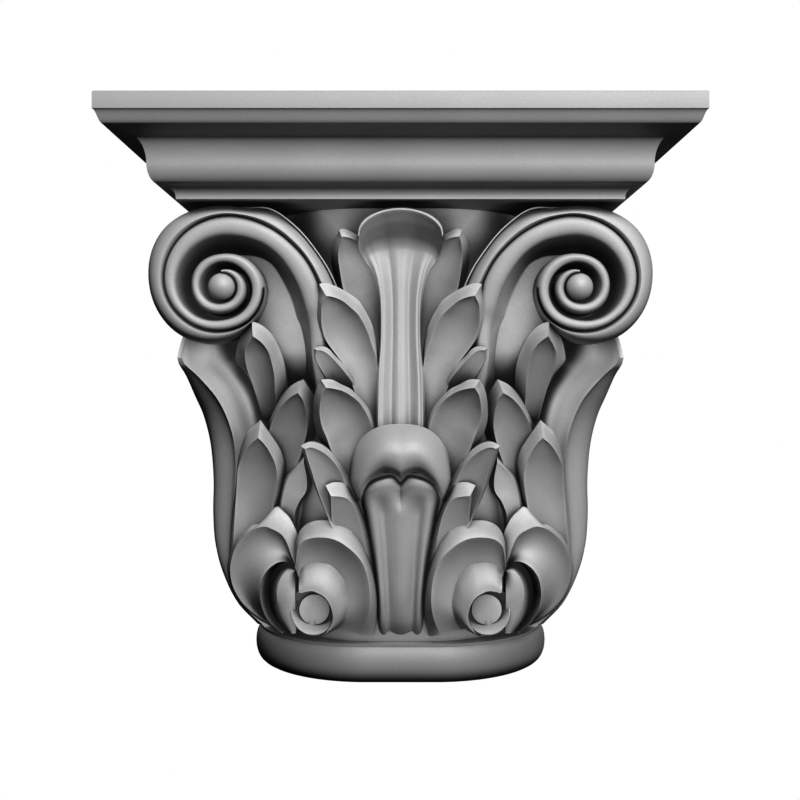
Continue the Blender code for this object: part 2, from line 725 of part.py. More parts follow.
def make_wall_cut(collection):
    """Make the block that cuts the back off flat where it meets the wall."""
    size = 2 * ABACUS_WIDTH
    bm = bmesh.new()
    bmesh.ops.create_cube(bm, size=size)
    bmesh.ops.translate(bm, verts=bm.verts, vec=(0, WALL + size / 2, HEIGHT / 2))
    mesh = bpy.data.meshes.new("wall cut")
    bm.to_mesh(mesh)
    bm.free()
    obj = bpy.data.objects.new("wall cut", mesh)
    collection.objects.link(obj)
    return obj


def stone():
    """Return the pale grey cast stone."""
    material = bpy.data.materials.new("cast stone")
    material.use_nodes = True
    shader = material.node_tree.nodes["Principled BSDF"]
    shader.inputs["Base Color"].default_value = (0.36, 0.36, 0.36, 1)
    shader.inputs["Roughness"].default_value = 0.62
    shader.inputs["Metallic"].default_value = 0.0
    return material


def combine(target, tool, operation):
    """Add a Boolean that joins or cuts the target with a tool.

    The manifold solver is used, as the exact one left pinched edges where leaves cross.
    """
    modifier = target.modifiers.new(tool.name, "BOOLEAN")
    modifier.operation = operation
    modifier.solver = "MANIFOLD"
    modifier.object = tool
    tool.hide_render = True
    tool.display_type = "WIRE"


def main():
    """Build the capital."""
    for obj in list(bpy.data.objects):
        bpy.data.objects.remove(obj, do_unlink=True)
    scene = bpy.context.scene
    parts = bpy.data.collections.new("corinthian capital")
    cutters = bpy.data.collections.new("cutters")
    scene.collection.children.link(parts)
    scene.collection.children.link(cutters)

    capital = make_bell(parts)
    capital.name = "capital"
    tools = [make_core(cutters), make_corner_leaf(cutters), make_bolster(cutters), make_field(cutters)]
    for name, leaf in LEAVES.items():
        made = relief(name, leaf_grid(leaf, 5, 3), leaf["root"], cutters, pointed=True)
        tools.append(made)
        if name in SIDE_LEAVES:
            tools.append(reflected(made, cutters))
    corner_curl = relief("corner curl", curl_grid(CORNER_CURL, 9), CORNER_CURL_ROOT, cutters)
    tools += [corner_curl, reflected(corner_curl, cutters)]
    tools.append(relief("front curl", curl_grid(FRONT_CURL, 9), FRONT_CURL_ROOT, cutters))
    tools += [make_eyelet(cutters), make_volute(cutters), make_eye(cutters)]
    tools += [make_upper_stem(cutters), make_lower_stem(cutters), make_boss(cutters)]
    tools += [make_astragal(cutters), make_abacus(cutters)]
    for tool in tools:
        combine(capital, tool, "UNION")
    combine(capital, make_eye_drill(cutters), "DIFFERENCE")
    combine(capital, make_wall_cut(cutters), "DIFFERENCE")

    mirror = capital.modifiers.new("mirror", "MIRROR")
    mirror.use_axis = (True, False, False)
    mirror.use_bisect_axis = (True, False, False)
    mirror.use_bisect_flip_axis = (False, False, False)
    mirror.merge_threshold = 0.00005
    capital.data.materials.append(stone())
    capital.data.shade_smooth()
    capital.data.set_sharp_from_angle(angle=math.radians(35))


main()
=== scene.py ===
"""Corinthian pilaster capital of cast stone, carved in front and flat behind.

Every shape is drawn in millimetres: x to the side, z up from the foot of the ring and y
from the front, which is negative, to the wall. The right half is drawn and then mirrored.
"""
import logging
import math
from dataclasses import dataclass
from enum import Enum
from typing import Callable, Sequence

import bmesh
import bpy
from mathutils import Matrix, Vector


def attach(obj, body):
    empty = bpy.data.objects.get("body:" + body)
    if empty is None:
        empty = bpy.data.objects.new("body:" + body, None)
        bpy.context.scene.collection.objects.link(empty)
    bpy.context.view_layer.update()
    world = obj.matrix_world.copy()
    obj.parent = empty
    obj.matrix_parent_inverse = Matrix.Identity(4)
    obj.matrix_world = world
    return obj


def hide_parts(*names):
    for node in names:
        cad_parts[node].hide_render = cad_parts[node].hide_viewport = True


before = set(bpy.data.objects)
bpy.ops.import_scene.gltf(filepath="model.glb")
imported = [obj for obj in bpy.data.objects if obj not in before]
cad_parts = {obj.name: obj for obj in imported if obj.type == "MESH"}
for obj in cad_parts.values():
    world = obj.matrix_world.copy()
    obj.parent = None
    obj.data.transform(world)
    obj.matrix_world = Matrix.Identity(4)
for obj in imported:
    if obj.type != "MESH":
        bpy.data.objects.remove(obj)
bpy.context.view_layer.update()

LOG = logging.getLogger("capital")
MM = 0.001
NODE = "capital"
BODY = "root"
SHARP_ANGLE = math.radians(32)
WELD = 0.005
SLIVER = 0.004
CLOSED = 0.01
TINY = 1e-9
MITRED_STATIONS = 6
FINE_STEPS = 16
RIM_ROUND = ((0.45, 0.35), (0.85, 0.25))
DISH_POWER = 2.3
WHITE = (1.0, 1.0, 1.0, 1.0)

Flat = tuple[float, float]
Rail = tuple[Flat, ...]
Grid = list[list[Vector]]


class Halves(Enum):
    """Which copies of a drawn shape a piece has."""

    WHOLE = "drawn whole"
    BOTH = "drawn once and mirrored"


def catmull(values: Sequence[Vector], at: float) -> Vector:
    """Read a smooth curve through evenly counted values.

    Args:
        values: The points that the curve goes through.
        at: Position on the curve, from 0 to the last index.

    Returns:
        The point there.
    """
    last = len(values) - 1
    k = min(int(at), last - 1)
    t = at - k
    b, c = values[k], values[k + 1]
    a = values[k - 1] if k > 0 else b * 2 - c
    d = values[k + 2] if k + 2 <= last else c * 2 - b
    return ((b * 2) + (c - a) * t + (a * 2 - b * 5 + c * 4 - d) * t ** 2
            + (b * 3 - a - c * 3 + d) * t ** 3) * 0.5


def spline(points: Sequence[Vector], count: int) -> list[Vector]:
    """Space points evenly along a smooth curve.

    Args:
        points: The points that the curve goes through.
        count: The number of steps.

    Returns:
        count + 1 points.
    """
    fine = [catmull(points, i / FINE_STEPS) for i in range((len(points) - 1) * FINE_STEPS + 1)]
    lengths = [0.0]
    for p, q in zip(fine, fine[1:]):
        lengths.append(lengths[-1] + (q - p).length)
    result = []
    k = 0
    for i in range(count + 1):
        target = lengths[-1] * i / count
        while k < len(fine) - 2 and lengths[k + 1] < target:
            k += 1
        share = (target - lengths[k]) / max(lengths[k + 1] - lengths[k], TINY)
        result.append(fine[k].lerp(fine[k + 1], min(max(share, 0.0), 1.0)))
    return result


def smooth_value(values: Sequence[float], share: float) -> float:
    """Read a smooth course of values.

    Args:
        values: The values, evenly spaced.
        share: The share of its length at which it is read.

    Returns:
        The value there.
    """
    return catmull([Vector((v, 0, 0)) for v in values], share * (len(values) - 1)).x


def rail(points: Rail, depths: Sequence[float], count: int) -> list[Vector]:
    """Make a carved line in space.

    Args:
        points: The line seen from the front, as (x, z).
        depths: Its y at even shares of its length.
        count: The number of steps.

    Returns:
        count + 1 points.
    """
    flat = spline([Vector((x, 0, z)) for x, z in points], count)
    return [Vector((p.x, smooth_value(depths, i / count), p.z)) for i, p in enumerate(flat)]


def step_between(low: float, high: float, value: float) -> float:
    """Rise smoothly between two values.

    Args:
        low: Where the result is 0.
        high: Where it is 1.
        value: Where it is read.

    Returns:
        The result, from 0 to 1.
    """
    t = min(max((value - low) / (high - low), 0.0), 1.0)
    return t * t * (3 - 2 * t)


class Mesher:
    """Collects closed shells in millimetres and makes one piece of them."""

    def __init__(self) -> None:
        """Start with nothing."""
        self.mesh = bmesh.new()

    def add(self, points: Sequence[Vector], faces: Sequence[Sequence[int]]) -> None:
        """Add one closed shell.

        Args:
            points: Its corners.
            faces: The corner numbers of each face.
        """
        shell = bmesh.new()
        made = [shell.verts.new(p) for p in points]
        for face in faces:
            shell.faces.new([made[i] for i in face])
        bmesh.ops.remove_doubles(shell, verts=shell.verts, dist=WELD)
        bmesh.ops.dissolve_degenerate(shell, edges=shell.edges, dist=SLIVER)
        bmesh.ops.recalc_face_normals(shell, faces=shell.faces)
        part = bpy.data.meshes.new("shell")
        shell.to_mesh(part)
        shell.free()
        self.mesh.from_mesh(part)
        bpy.data.meshes.remove(part)

    def sheet(self, grid: Grid, root: float | Sequence[float], pointed: bool = False) -> None:
        """Add a carved surface with walls back to a depth.

        Args:
            grid: Rows of points of the surface.
            root: The y of its back, for all rows or for each.
            pointed: True where the last row folds together at a tip.
        """
        rows, columns = len(grid), len(grid[0])
        roots = [root] * rows if isinstance(root, (int, float)) else root
        front = [p for row in grid for p in row]
        back = [Vector((p.x, depth, p.z)) for row, depth in zip(grid, roots) for p in row]
        offset = len(front)
        faces = []
        for j in range(rows - 1):
            for i in range(columns - 1):
                quad = (j * columns + i, j * columns + i + 1, (j + 1) * columns + i + 1,
                        (j + 1) * columns + i)
                faces.append(quad)
                faces.append(tuple(offset + k for k in reversed(quad)))
        border = [j * columns for j in range(rows - 1, -1, -1)] + list(range(1, columns))
        border += [j * columns + columns - 1 for j in range(1, rows)]
        if not pointed:
            border += [(rows - 1) * columns + i for i in range(columns - 2, -1, -1)]
        faces += [(a, offset + a, offset + b, b) for a, b in zip(border, border[1:])]
        self.add(front + back, faces)

    def loft(self, rings: Sequence[Sequence[Vector]]) -> None:
        """Add a solid through closed rings.

        Args:
            rings: The rings, of as many points each.
        """
        size = len(rings[0])
        faces: list[tuple[int, ...]] = []
        for j in range(len(rings) - 1):
            for i in range(size):
                k = (i + 1) % size
                faces.append((j * size + i, j * size + k, (j + 1) * size + k, (j + 1) * size + i))
        faces.append(tuple(range(size)))
        faces.append(tuple(range((len(rings) - 1) * size, len(rings) * size)))
        self.add([p for ring in rings for p in ring], faces)

    def mirror(self) -> None:
        """Add the left half, as a reflection of everything so far."""
        geom = self.mesh.verts[:] + self.mesh.edges[:] + self.mesh.faces[:]
        found = bmesh.ops.duplicate(self.mesh, geom=geom)
        verts = [v for v in found["geom"] if isinstance(v, bmesh.types.BMVert)]
        faces = [f for f in found["geom"] if isinstance(f, bmesh.types.BMFace)]
        bmesh.ops.transform(self.mesh, matrix=Matrix.Scale(-1, 4, (1, 0, 0)), verts=verts)
        bmesh.ops.reverse_faces(self.mesh, faces=faces)

    def piece(self, name: str, material: bpy.types.Material, halves: Halves) -> bpy.types.Object:
        """Turn the shells into a piece that stands for the carved stone.

        Args:
            name: The piece's name.
            material: Its finish.
            halves: The copies that it has.

        Returns:
            The object.
        """
        if halves is Halves.BOTH:
            self.mirror()
        bmesh.ops.scale(self.mesh, vec=(MM, MM, MM), verts=self.mesh.verts)
        data = bpy.data.meshes.new(name)
        self.mesh.to_mesh(data)
        self.mesh.free()
        obj = bpy.data.objects.new(name, data)
        bpy.context.scene.collection.objects.link(obj)
        return dress(obj, material)


def dress(obj: bpy.types.Object, material: bpy.types.Material) -> bpy.types.Object:
    """Shade a finished piece, give it its stone and fix it to the block.

    Args:
        obj: The piece.
        material: Its finish.

    Returns:
        The piece.
    """
    obj.data.materials.clear()
    obj.data.materials.append(material)
    obj.data.shade_smooth()
    obj.data.set_sharp_from_angle(angle=SHARP_ANGLE)
    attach(obj, BODY)
    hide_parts(NODE)
    LOG.info("%s: %d faces", obj.name, len(obj.data.polygons))
    return obj


def carve_sheet(name: str, stone: bpy.types.Material, halves: Halves, grid: Grid,
                root: float | Sequence[float], pointed: bool = False) -> None:
    """Make a piece of one carved surface.

    Args:
        name: The piece's name.
        stone: Its finish.
        halves: The copies that it has.
        grid: Rows of points of the surface.
        root: The y of its back, for all rows or for each.
        pointed: True where the last row folds together at a tip.
    """
    mesher = Mesher()
    mesher.sheet(grid, root, pointed)
    mesher.piece(name, stone, halves)


def carve_rings(name: str, stone: bpy.types.Material, rings: Sequence[Sequence[Vector]]) -> None:
    """Make a piece of one solid through closed rings, and its mirror image.

    Args:
        name: The piece's name.
        stone: Its finish.
        rings: The rings, of as many points each.
    """
    mesher = Mesher()
    mesher.loft(rings)
    mesher.piece(name, stone, Halves.BOTH)


@dataclass(frozen=True)
class Block:
    """Sizes that the whole capital shares, in millimetres."""

    height: float = 402.0
    half_width: float = 200.0
    wall: float = 100.0
    plan_flat: float = 25.0
    shaft_half: float = 103.0
    shaft_front: float = -3.5
    plan_depth: float = 123.0


BLOCK = Block()


@dataclass(frozen=True)
class Leaf:
    """One leaf tip, drawn by its outline and by the crest that edges its hollow face.

    The outlines and crests are (x, z) from foot to tip, without the tips. Depths are y at
    the foot, the middle and the tip of each crest, and drops are how far behind the crest
    the outline lies.
    """

    name: str
    outer: Rail
    outer_crest: Rail
    inner_crest: Rail
    inner: Rail
    tip: Flat
    crest_tip: Flat
    outer_depths: tuple[float, float, float]
    inner_depths: tuple[float, float, float]
    drops: tuple[float, float]
    root: float
    hollow: float = 0.2

    def grid(self, rows: int, columns: int) -> Grid:
        """Draw the carved face.

        Args:
            rows: Steps from foot to tip.
            columns: Steps across the hollow face.

        Returns:
            Rows of points.
        """
        outer_drop, inner_drop = self.drops
        outer = rail((*self.outer, self.tip), [y + outer_drop for y in self.outer_depths], rows)
        inner = rail((*self.inner, self.tip), [y + inner_drop for y in self.inner_depths], rows)
        edge = rail((*self.outer_crest, self.crest_tip), self.outer_depths, rows)
        far = rail((*self.inner_crest, self.crest_tip), self.inner_depths, rows)
        outer[-1].y = inner[-1].y = self.outer_depths[-1] + min(self.drops)
        far[-1].y = edge[-1].y
        grid = []
        for o, a, b, i in zip(outer, edge, far, inner):
            width = (b - a).length
            row = [o, *(o.lerp(a, u) - Vector((0, out, 0)) for u, out in RIM_ROUND)]
            for k in range(columns + 1):
                u = k / columns
                dish = (1 - abs(2 * u - 1) ** DISH_POWER) * self.hollow * width
                row.append(a.lerp(b, u) + Vector((0, dish, 0)))
            row += [*(i.lerp(b, u) - Vector((0, out, 0)) for u, out in reversed(RIM_ROUND)), i]
            grid.append(row)
        return grid


LEAVES = (
    Leaf(
        "upper leaf",
        outer=((28, 236), (35, 258), (43, 277.5), (45.5, 282), (48.5, 295), (49, 301.5),
               (48, 308.5), (46, 315)),
        outer_crest=((22, 236), (29, 258), (37.5, 273.5), (40.5, 280), (43, 295.5), (43.5, 302.5),
                     (42.5, 309.5)),
        inner_crest=((13, 230), (12.5, 250), (13.5, 271.5), (16, 289), (20, 301), (25, 308.5),
                     (32, 313), (36.5, 314.5)),
        inner=((12, 230), (11, 250), (11.5, 272), (13.5, 289.5), (17, 301), (22.5, 311.5),
               (30.5, 317), (39, 321)),
        tip=(43, 320), crest_tip=(41, 315), outer_depths=(-16, -20, -30), inner_depths=(-12, -17, -30),
        drops=(10, 4), root=40, hollow=0.22,
    ),
    Leaf(
        "stem leaf",
        outer=((26, 180), (39.5, 211.5), (53, 238), (55.5, 242.5), (58, 248.5), (59, 255.5),
               (59.5, 262), (58, 270.5), (56.5, 277)),
        outer_crest=((22, 180), (31, 204.5), (38.5, 224), (43.5, 231), (50.5, 240.5), (53, 246),
                     (54.5, 253), (54.5, 259.5), (54, 266.5)),
        inner_crest=((17.5, 178), (16.5, 204.5), (15.5, 218.5), (17, 231), (20, 239.5),
                     (22.5, 247.5), (26, 255), (29.5, 260.5), (35, 265.5), (40, 269.5), (46.5, 272)),
        inner=((16, 178), (15, 204.5), (14.5, 218.5), (15.5, 230.5), (17, 243), (20.5, 255.5),
               (27, 267.5), (31, 272), (40, 277.5), (46.5, 280.5), (52, 282)),
        tip=(56, 281), crest_tip=(51, 272.5), outer_depths=(-24, -30, -46), inner_depths=(-22, -29, -46),
        drops=(8, 4), root=38, hollow=0.24,
    ),
    Leaf(
        "small leaf",
        outer=((46, 204.5), (55, 217), (57, 222), (58.5, 227), (60, 231.5)),
        outer_crest=((43.5, 204.5), (51, 215.5), (54.5, 221.5), (57, 226), (58.7, 231.5)),
        inner_crest=((24, 201), (30, 206.5), (35, 215.5), (42, 224.5), (48.5, 231.5), (53.5, 235)),
        inner=((22.5, 204.5), (28.5, 211.5), (34, 218.5), (38.5, 225), (45, 231.5), (49, 236),
               (52.5, 238), (57, 238)),
        tip=(60, 237), crest_tip=(58, 235.5), outer_depths=(-22, -33, -41), inner_depths=(-16, -34, -41),
        drops=(9, 2.5), root=36, hollow=0.1,
    ),
    Leaf(
        "middle leaf",
        outer=((38.5, 149), (46, 163), (51.5, 168), (55.5, 172), (58.5, 179), (60.5, 187.5),
               (60.5, 195.5), (59.5, 203.5), (57.5, 210)),
        outer_crest=((33.5, 142.5), (42, 156.5), (48, 166.5), (51, 175), (54, 182.5), (55.5, 191),
                     (55, 198), (53.5, 204.5)),
        inner_crest=((18.5, 159.5), (18.5, 170), (19.5, 180.5), (21.5, 187.5), (25, 194.5),
                     (29, 200), (34.5, 204.5), (40, 207.5), (46, 209)),
        inner=((15.5, 159.5), (15.5, 170), (17, 180.5), (18.5, 186), (21, 193), (24.5, 198.5),
               (29.5, 204), (35, 209), (41, 212), (46.5, 215), (51, 215.5)),
        tip=(54.5, 215), crest_tip=(50.5, 209.5), outer_depths=(-34, -38, -53),
        inner_depths=(-32, -37, -53),
        drops=(8, 4), root=34, hollow=0.24,
    ),
    Leaf(
        "lower leaf",
        outer=((44.5, 100.5), (48, 115.5), (50, 118.5), (54, 126.5), (58, 136), (61.5, 146.5),
               (64, 154.5), (66.5, 163.5)),
        outer_crest=((42, 101), (46.5, 111.5), (50.5, 121.5), (56, 136), (61, 153.5), (63.5, 162)),
        inner_crest=((33.5, 118), (36, 132), (38, 142.5), (41.5, 152), (46, 159), (51.5, 164.5),
                     (57.5, 168), (61.5, 169)),
        inner=((29, 117.5), (31, 132), (34.5, 144.5), (38, 151.5), (41.5, 157.5), (46, 163.5),
               (50, 167.5), (55, 171), (60, 172.5), (64.5, 172)),
        tip=(68, 170), crest_tip=(65, 168), outer_depths=(-38, -42, -56), inner_depths=(-37, -42, -56),
        drops=(12, 3), root=32, hollow=0.16,
    ),
    Leaf(
        "curl leaf",
        outer=((46.5, 86), (48.5, 103.5), (49, 116.5), (50, 124), (51.2, 132.5)),
        outer_crest=((46, 86), (47.5, 104), (47.5, 122.5)),
        inner_crest=((19, 60.5), (21.5, 75), (24, 93), (26.5, 111), (30.5, 125.5), (36, 133), (41.5, 135)),
        inner=((16, 60), (17.5, 74.5), (20, 96), (22.5, 110), (26, 121), (29.5, 129.5), (33, 136.5),
               (37, 143), (41.5, 144.5), (47, 144.5)),
        tip=(51.5, 142.5), crest_tip=(47.5, 135.5), outer_depths=(-30, -36, -49),
        inner_depths=(-26, -34, -49),
        drops=(14, 5), root=30, hollow=0.06,
    ),
    Leaf(
        "back leaf",
        outer=((90, 96), (88, 112), (86.9, 126.5), (82.5, 144.5), (76, 153)),
        outer_crest=((87, 96), (85.5, 112), (84.5, 126.5), (80.5, 143), (75, 151)),
        inner_crest=((75, 96), (75.5, 112), (74.5, 121.5), (71, 130), (66.5, 137), (66, 146)),
        inner=((73, 96), (73.5, 112), (72.5, 121.5), (69, 130), (64, 137), (63, 146)),
        tip=(68, 162), crest_tip=(68, 157), outer_depths=(-12, -14, -20), inner_depths=(-18, -20, -20),
        drops=(4, 5), root=60, hollow=0.08,
    ),
    Leaf(
        "ground leaf",
        outer=((78, 92), (76, 112), (72, 134)),
        outer_crest=((76, 92), (74, 112), (70, 134)),
        inner_crest=((44, 92), (44, 112), (46, 134)),
        inner=((40, 92), (40, 112), (42, 134)),
        tip=(60, 168), crest_tip=(60, 164), outer_depths=(-6, -12, -14), inner_depths=(-6, -18, -14),
        drops=(3, 3), root=58, hollow=0.04,
    ),
    Leaf(
        "outer leaf",
        outer=((124, 80), (122, 114.5), (119.5, 133), (117.5, 147.5), (116, 158), (114, 165.5),
               (111.5, 172.5), (108, 179), (102.5, 183.5)),
        outer_crest=((121, 80), (119, 115), (117, 137), (115, 153), (110.5, 162.5), (105.5, 169.5)),
        inner_crest=((98.5, 90), (93, 108), (90, 125), (88, 137.5), (87, 146), (88, 155.5),
                     (91.5, 164), (95.5, 170.5)),
        inner=((95, 90), (90, 112), (86, 127.5), (83.5, 137), (82.5, 146), (82.5, 155),
               (84.5, 164.5), (88.5, 172)),
        tip=(98.5, 187), crest_tip=(99.5, 174.5), outer_depths=(2, -4, -27), inner_depths=(-10, -14, -27),
        drops=(6, 6), root=70, hollow=0.16,
    ),
    Leaf(
        "inner leaf",
        outer=((104, 130), (99, 160), (96, 179), (92, 189), (88, 197), (83.5, 204), (78.5, 209.5),
               (73.5, 213)),
        outer_crest=((101, 130), (96.5, 160), (92.5, 180), (87.5, 190.5), (82.5, 197.5), (76.5, 203)),
        inner_crest=((82, 120), (77, 145), (70.5, 162), (66.5, 175), (65, 183.5), (65.5, 192),
                     (67.5, 200.5)),
        inner=((79, 118), (73, 143), (64.5, 162), (59.5, 178.5), (58, 187), (58.5, 196),
               (60.5, 203), (63.5, 209)),
        tip=(67.5, 215.5), crest_tip=(71, 206), outer_depths=(4, -12, -38), inner_depths=(-8, -18, -38),
        drops=(6, 5), root=68, hollow=0.2,
    ),
    Leaf(
        "scroll leaf",
        outer=((98, 165), (101, 190), (104.5, 208), (107.5, 216.5), (111.5, 223), (116, 228.5),
               (114.5, 238), (111.5, 245.5), (107.5, 251)),
        outer_crest=((96, 165), (99, 190), (103.5, 210), (107, 222), (108, 232.5), (105.5, 239)),
        inner_crest=((89, 165), (88, 190), (88, 208), (88, 218.5), (89.5, 227.5), (91.5, 234.5),
                     (95.5, 240.5)),
        inner=((82, 165), (80.5, 190), (80.5, 207), (80.5, 218.5), (81.5, 227.5), (83.5, 234.5),
               (87.5, 243.5), (92, 249.5), (97, 253.5)),
        tip=(102.5, 255.5), crest_tip=(101.5, 245), outer_depths=(16, -15, -44),
        inner_depths=(12, -23, -44),
        drops=(7, 4), root=66, hollow=0.2,
    ),
)


@dataclass
class Foliage:
    """The leaf tips of the front."""

    rows: int = 40
    columns: int = 14
    leaves: tuple[Leaf, ...] = LEAVES

    def build(self, stone: bpy.types.Material) -> None:
        """Carve every leaf.

        Args:
            stone: Its finish.
        """
        for leaf in self.leaves:
            name, grid = leaf.name.replace(" ", "_"), leaf.grid(self.rows, self.columns)
            carve_sheet(name, stone, Halves.BOTH, grid, leaf.root, pointed=True)


@dataclass(frozen=True)
class Strip:
    """A line of a curl, with its depths, and how the surface bulges on its way to the next."""

    points: Rail
    depths: tuple[float, ...]
    bulge: float = 0.0
    steps: int = 4


@dataclass
class Curl:
    """A leaf end that rolls over, carved as strips between drawn lines."""

    name: str
    strips: tuple[Strip, ...]
    root: float
    rows: int = 64

    def grid(self) -> Grid:
        """Draw the surface through the lines, bulging between them."""
        lines = [rail(s.points, s.depths, self.rows) for s in self.strips]
        grid = []
        for j in range(self.rows + 1):
            row = []
            for k, strip in enumerate(self.strips[:-1]):
                a, b = lines[k][j], lines[k + 1][j]
                for i in range(strip.steps):
                    u = i / strip.steps
                    row.append(a.lerp(b, u) + Vector((0, 4 * u * (1 - u) * strip.bulge, 0)))
            row.append(lines[-1][j])
            grid.append(row)
        return grid

    def build(self, stone: bpy.types.Material) -> None:
        """Carve the curl.

        Args:
            stone: Its finish.
        """
        carve_sheet(self.name, stone, Halves.BOTH, self.grid(), self.root)


FRONT_CURL = Curl(
    "front_curl",
    strips=(
        Strip(((74, 86), (73.5, 97), (72.5, 104), (69, 111.5), (61, 116.5), (53, 117.5),
               (43, 116.5), (34, 111), (26.5, 101), (21.5, 89), (18, 75), (16.5, 61), (17, 47),
               (20, 34)), (-24, -30, -34, -30, -26, -14), -1.2),
        Strip(((73, 85), (71.6, 95), (70.5, 100), (66.5, 104.2), (61.5, 106), (56, 106.6),
               (49, 106.2), (42, 103.8), (35, 99), (28.5, 92.5), (24.5, 85), (22.2, 76), (21.2, 66),
               (21.8, 55), (24, 46), (28, 36)), (-36, -41, -44, -42, -37, -20), 1.5, 6),
        Strip(((71, 78), (69, 83.5), (66.5, 86), (60, 88), (54, 87.6), (48.5, 86), (43.5, 81.5),
               (39.5, 75.5), (37.2, 68), (35.8, 60), (36.5, 53), (38.5, 46.5), (44, 39.5)),
              (-30, -30, -30, -30, -28, -19), 0, 1),
        Strip(((70.6, 77.5), (68.4, 82.6), (66, 85), (60, 87), (54.2, 86.6), (49.2, 85),
               (44.4, 80.8), (40.5, 75), (38.2, 67.8), (36.8, 60), (37.4, 53.4), (39.4, 47.4),
               (44.6, 40.4)), (-31, -31, -31, -31, -29, -21), -2.6, 8),
        Strip(((70, 68), (68.2, 67.8), (66, 68.6), (61, 69.2), (57, 67.8), (53, 65.5), (50, 62),
               (48, 57.5), (47, 53), (47, 48.5), (48.6, 44), (52, 39), (56, 36)),
              (-38, -39, -39, -36, -32, -29), 0, 1),
        Strip(((70, 66.8), (68.2, 66.6), (66, 67.2), (61, 67.8), (57.6, 66.6), (54, 64.6),
               (51.2, 61.4), (49.4, 57.2), (48.4, 53), (48.4, 49), (50, 45), (53, 40.4),
               (57, 37.4)), (-14, -14, -14, -14, -14, -14)),
    ),
    root=28.5,
)

CORNER_CURL = Curl(
    "corner_curl",
    strips=(
        Strip(((71, 84), (71, 100), (73, 109), (77.5, 118), (82, 122.5), (87.5, 126), (94, 118.5),
               (97.5, 113.5), (105, 112), (114.5, 104.5), (120.5, 93.5), (123.5, 81.5), (121, 66),
               (112.5, 52), (99.5, 41), (83, 34)), (-20, -24, -20, -12, -4, 4, 8), -1.0, 3),
        Strip(((73, 84), (76, 91), (77.8, 97), (80.5, 103.5), (84, 107.8), (90, 111), (95, 112.6),
               (100.5, 111.5), (106, 108.5), (112.5, 102.5), (117.5, 94), (120.5, 82), (119, 68),
               (111.5, 54), (99, 42.5), (83, 35)), (-24, -27, -24, -17, -8, 0, 4), 7.0, 10),
        Strip(((76, 84), (79, 87.5), (83.5, 88), (88.5, 86), (93.5, 81.5), (97, 75), (98.7, 66),
               (98.2, 58), (96, 50), (92, 43), (84, 35)), (-24, -26, -25, -20, -15, -10), -0.5, 3),
        Strip(((76, 83.5), (78.5, 85.5), (82.5, 85.8), (86.5, 83.5), (90.5, 79), (93.5, 72.5),
               (94.8, 65), (94.4, 58), (92.5, 51), (88.5, 43.5), (82, 36)),
              (-12, -8, -5, -3, -3, -3), -1.5, 5),
        Strip(((75, 82), (76.5, 82.6), (79, 82.2), (81.5, 80), (84.5, 75.5), (86.5, 70), (87, 63.5),
               (86, 57), (84, 50), (81.5, 43), (78, 36)), (-21, -22, -21, -19, -17, -14), -1.5, 4),
        Strip(((73.5, 80), (73.7, 79.5), (74, 78.5), (74, 76), (74, 73), (74, 69), (74, 64),
               (74, 58), (74, 50), (74, 43), (74, 36)), (-20, -21, -21, -19, -17, -14)),
    ),
    root=68.6,
)


@dataclass
class CornerLeaf:
    """The tall leaf at each corner, wrapped from the front over its rib to the side."""

    rows: int = 48
    back: float = 99.3
    core: float = 70.0
    rib: tuple[tuple[float, float, float], ...] = (
        (150, -14, 250), (153, -17, 236), (153.5, -18, 228), (143, -10, 217), (130, -2, 200),
        (122, 5, 179), (119.5, 9, 157), (121, 10, 128), (123, 10, 100), (123, 8, 74), (113, 8, 52),
        (98, 8, 37),
    )
    side: tuple[tuple[float, float, float], ...] = (
        (152, -12, 250), (156, -14, 236), (156.5, -13, 228), (154, 0, 219), (149.5, 14, 204),
        (144.4, 24, 189), (140, 29, 168), (138, 30, 142), (138.3, 30, 118), (136.5, 30, 94),
        (130.3, 30, 73.8), (120, 29, 53.2), (105, 28, 37),
    )
    inner: tuple[tuple[float, float, float], ...] = (
        (124, 4, 250), (122, 4, 236), (119, 6, 228), (111.5, 8, 217), (105.5, 8, 208),
        (101, 6, 188), (98, 6, 158), (97, 4, 129), (97, 2, 100), (97, 2, 75), (93, 2, 52),
        (84, 2, 37),
    )
    wall_widths: tuple[float, ...] = (112, 116, 118, 122, 126, 128, 128, 127, 124, 118, 110, 98)
    face: tuple[Flat, ...] = (
        (0.06, -1.6), (0.14, -2.8), (0.24, -3.2), (0.36, -2.2), (0.5, 0.2), (0.64, 1.8),
        (0.78, 1.9), (0.9, 1.0),
    )
    flank: tuple[Flat, ...] = ((0.1, -1.3), (0.25, -1.2), (0.4, 0.0), (0.55, 1.2), (0.7, 1.9), (0.85, 1.5))
    flank_out: tuple[float, float, float] = (0.83, -0.55, 0.0)
    shoulder: tuple[float, ...] = (0.1, 0.25, 0.45, 0.65, 0.85)
    shoulder_out: float = 2.5
    core_back: float = 55.0

    def rings(self) -> list[list[Vector]]:
        """Draw level rings from the top of the leaf down to the ring moulding."""
        rails = [spline([Vector(p) for p in line], self.rows) for line in (self.inner, self.rib, self.side)]
        rings = []
        for j, (a, b, c) in enumerate(zip(*rails)):
            width = smooth_value(self.wall_widths, j / self.rows)
            face = [a.lerp(b, u) + Vector((0, dy, 0)) for u, dy in self.face]
            flank = [b.lerp(c, u) + Vector(self.flank_out) * out for u, out in self.flank]
            wall = Vector((width, self.back, c.z))
            side = [c.lerp(wall, u) + Vector((self.shoulder_out * 4 * u * (1 - u), 0, 0))
                    for u in self.shoulder]
            core = [Vector((self.core, self.back, a.z)), Vector((self.core, a.y + self.core_back, a.z))]
            rings.append([a, *face, b, *flank, c, *side, wall, *core])
        return rings

    def build(self, stone: bpy.types.Material) -> None:
        """Carve both corner leaves.

        Args:
            stone: Its finish.
        """
        carve_rings("corner_leaf", stone, self.rings())


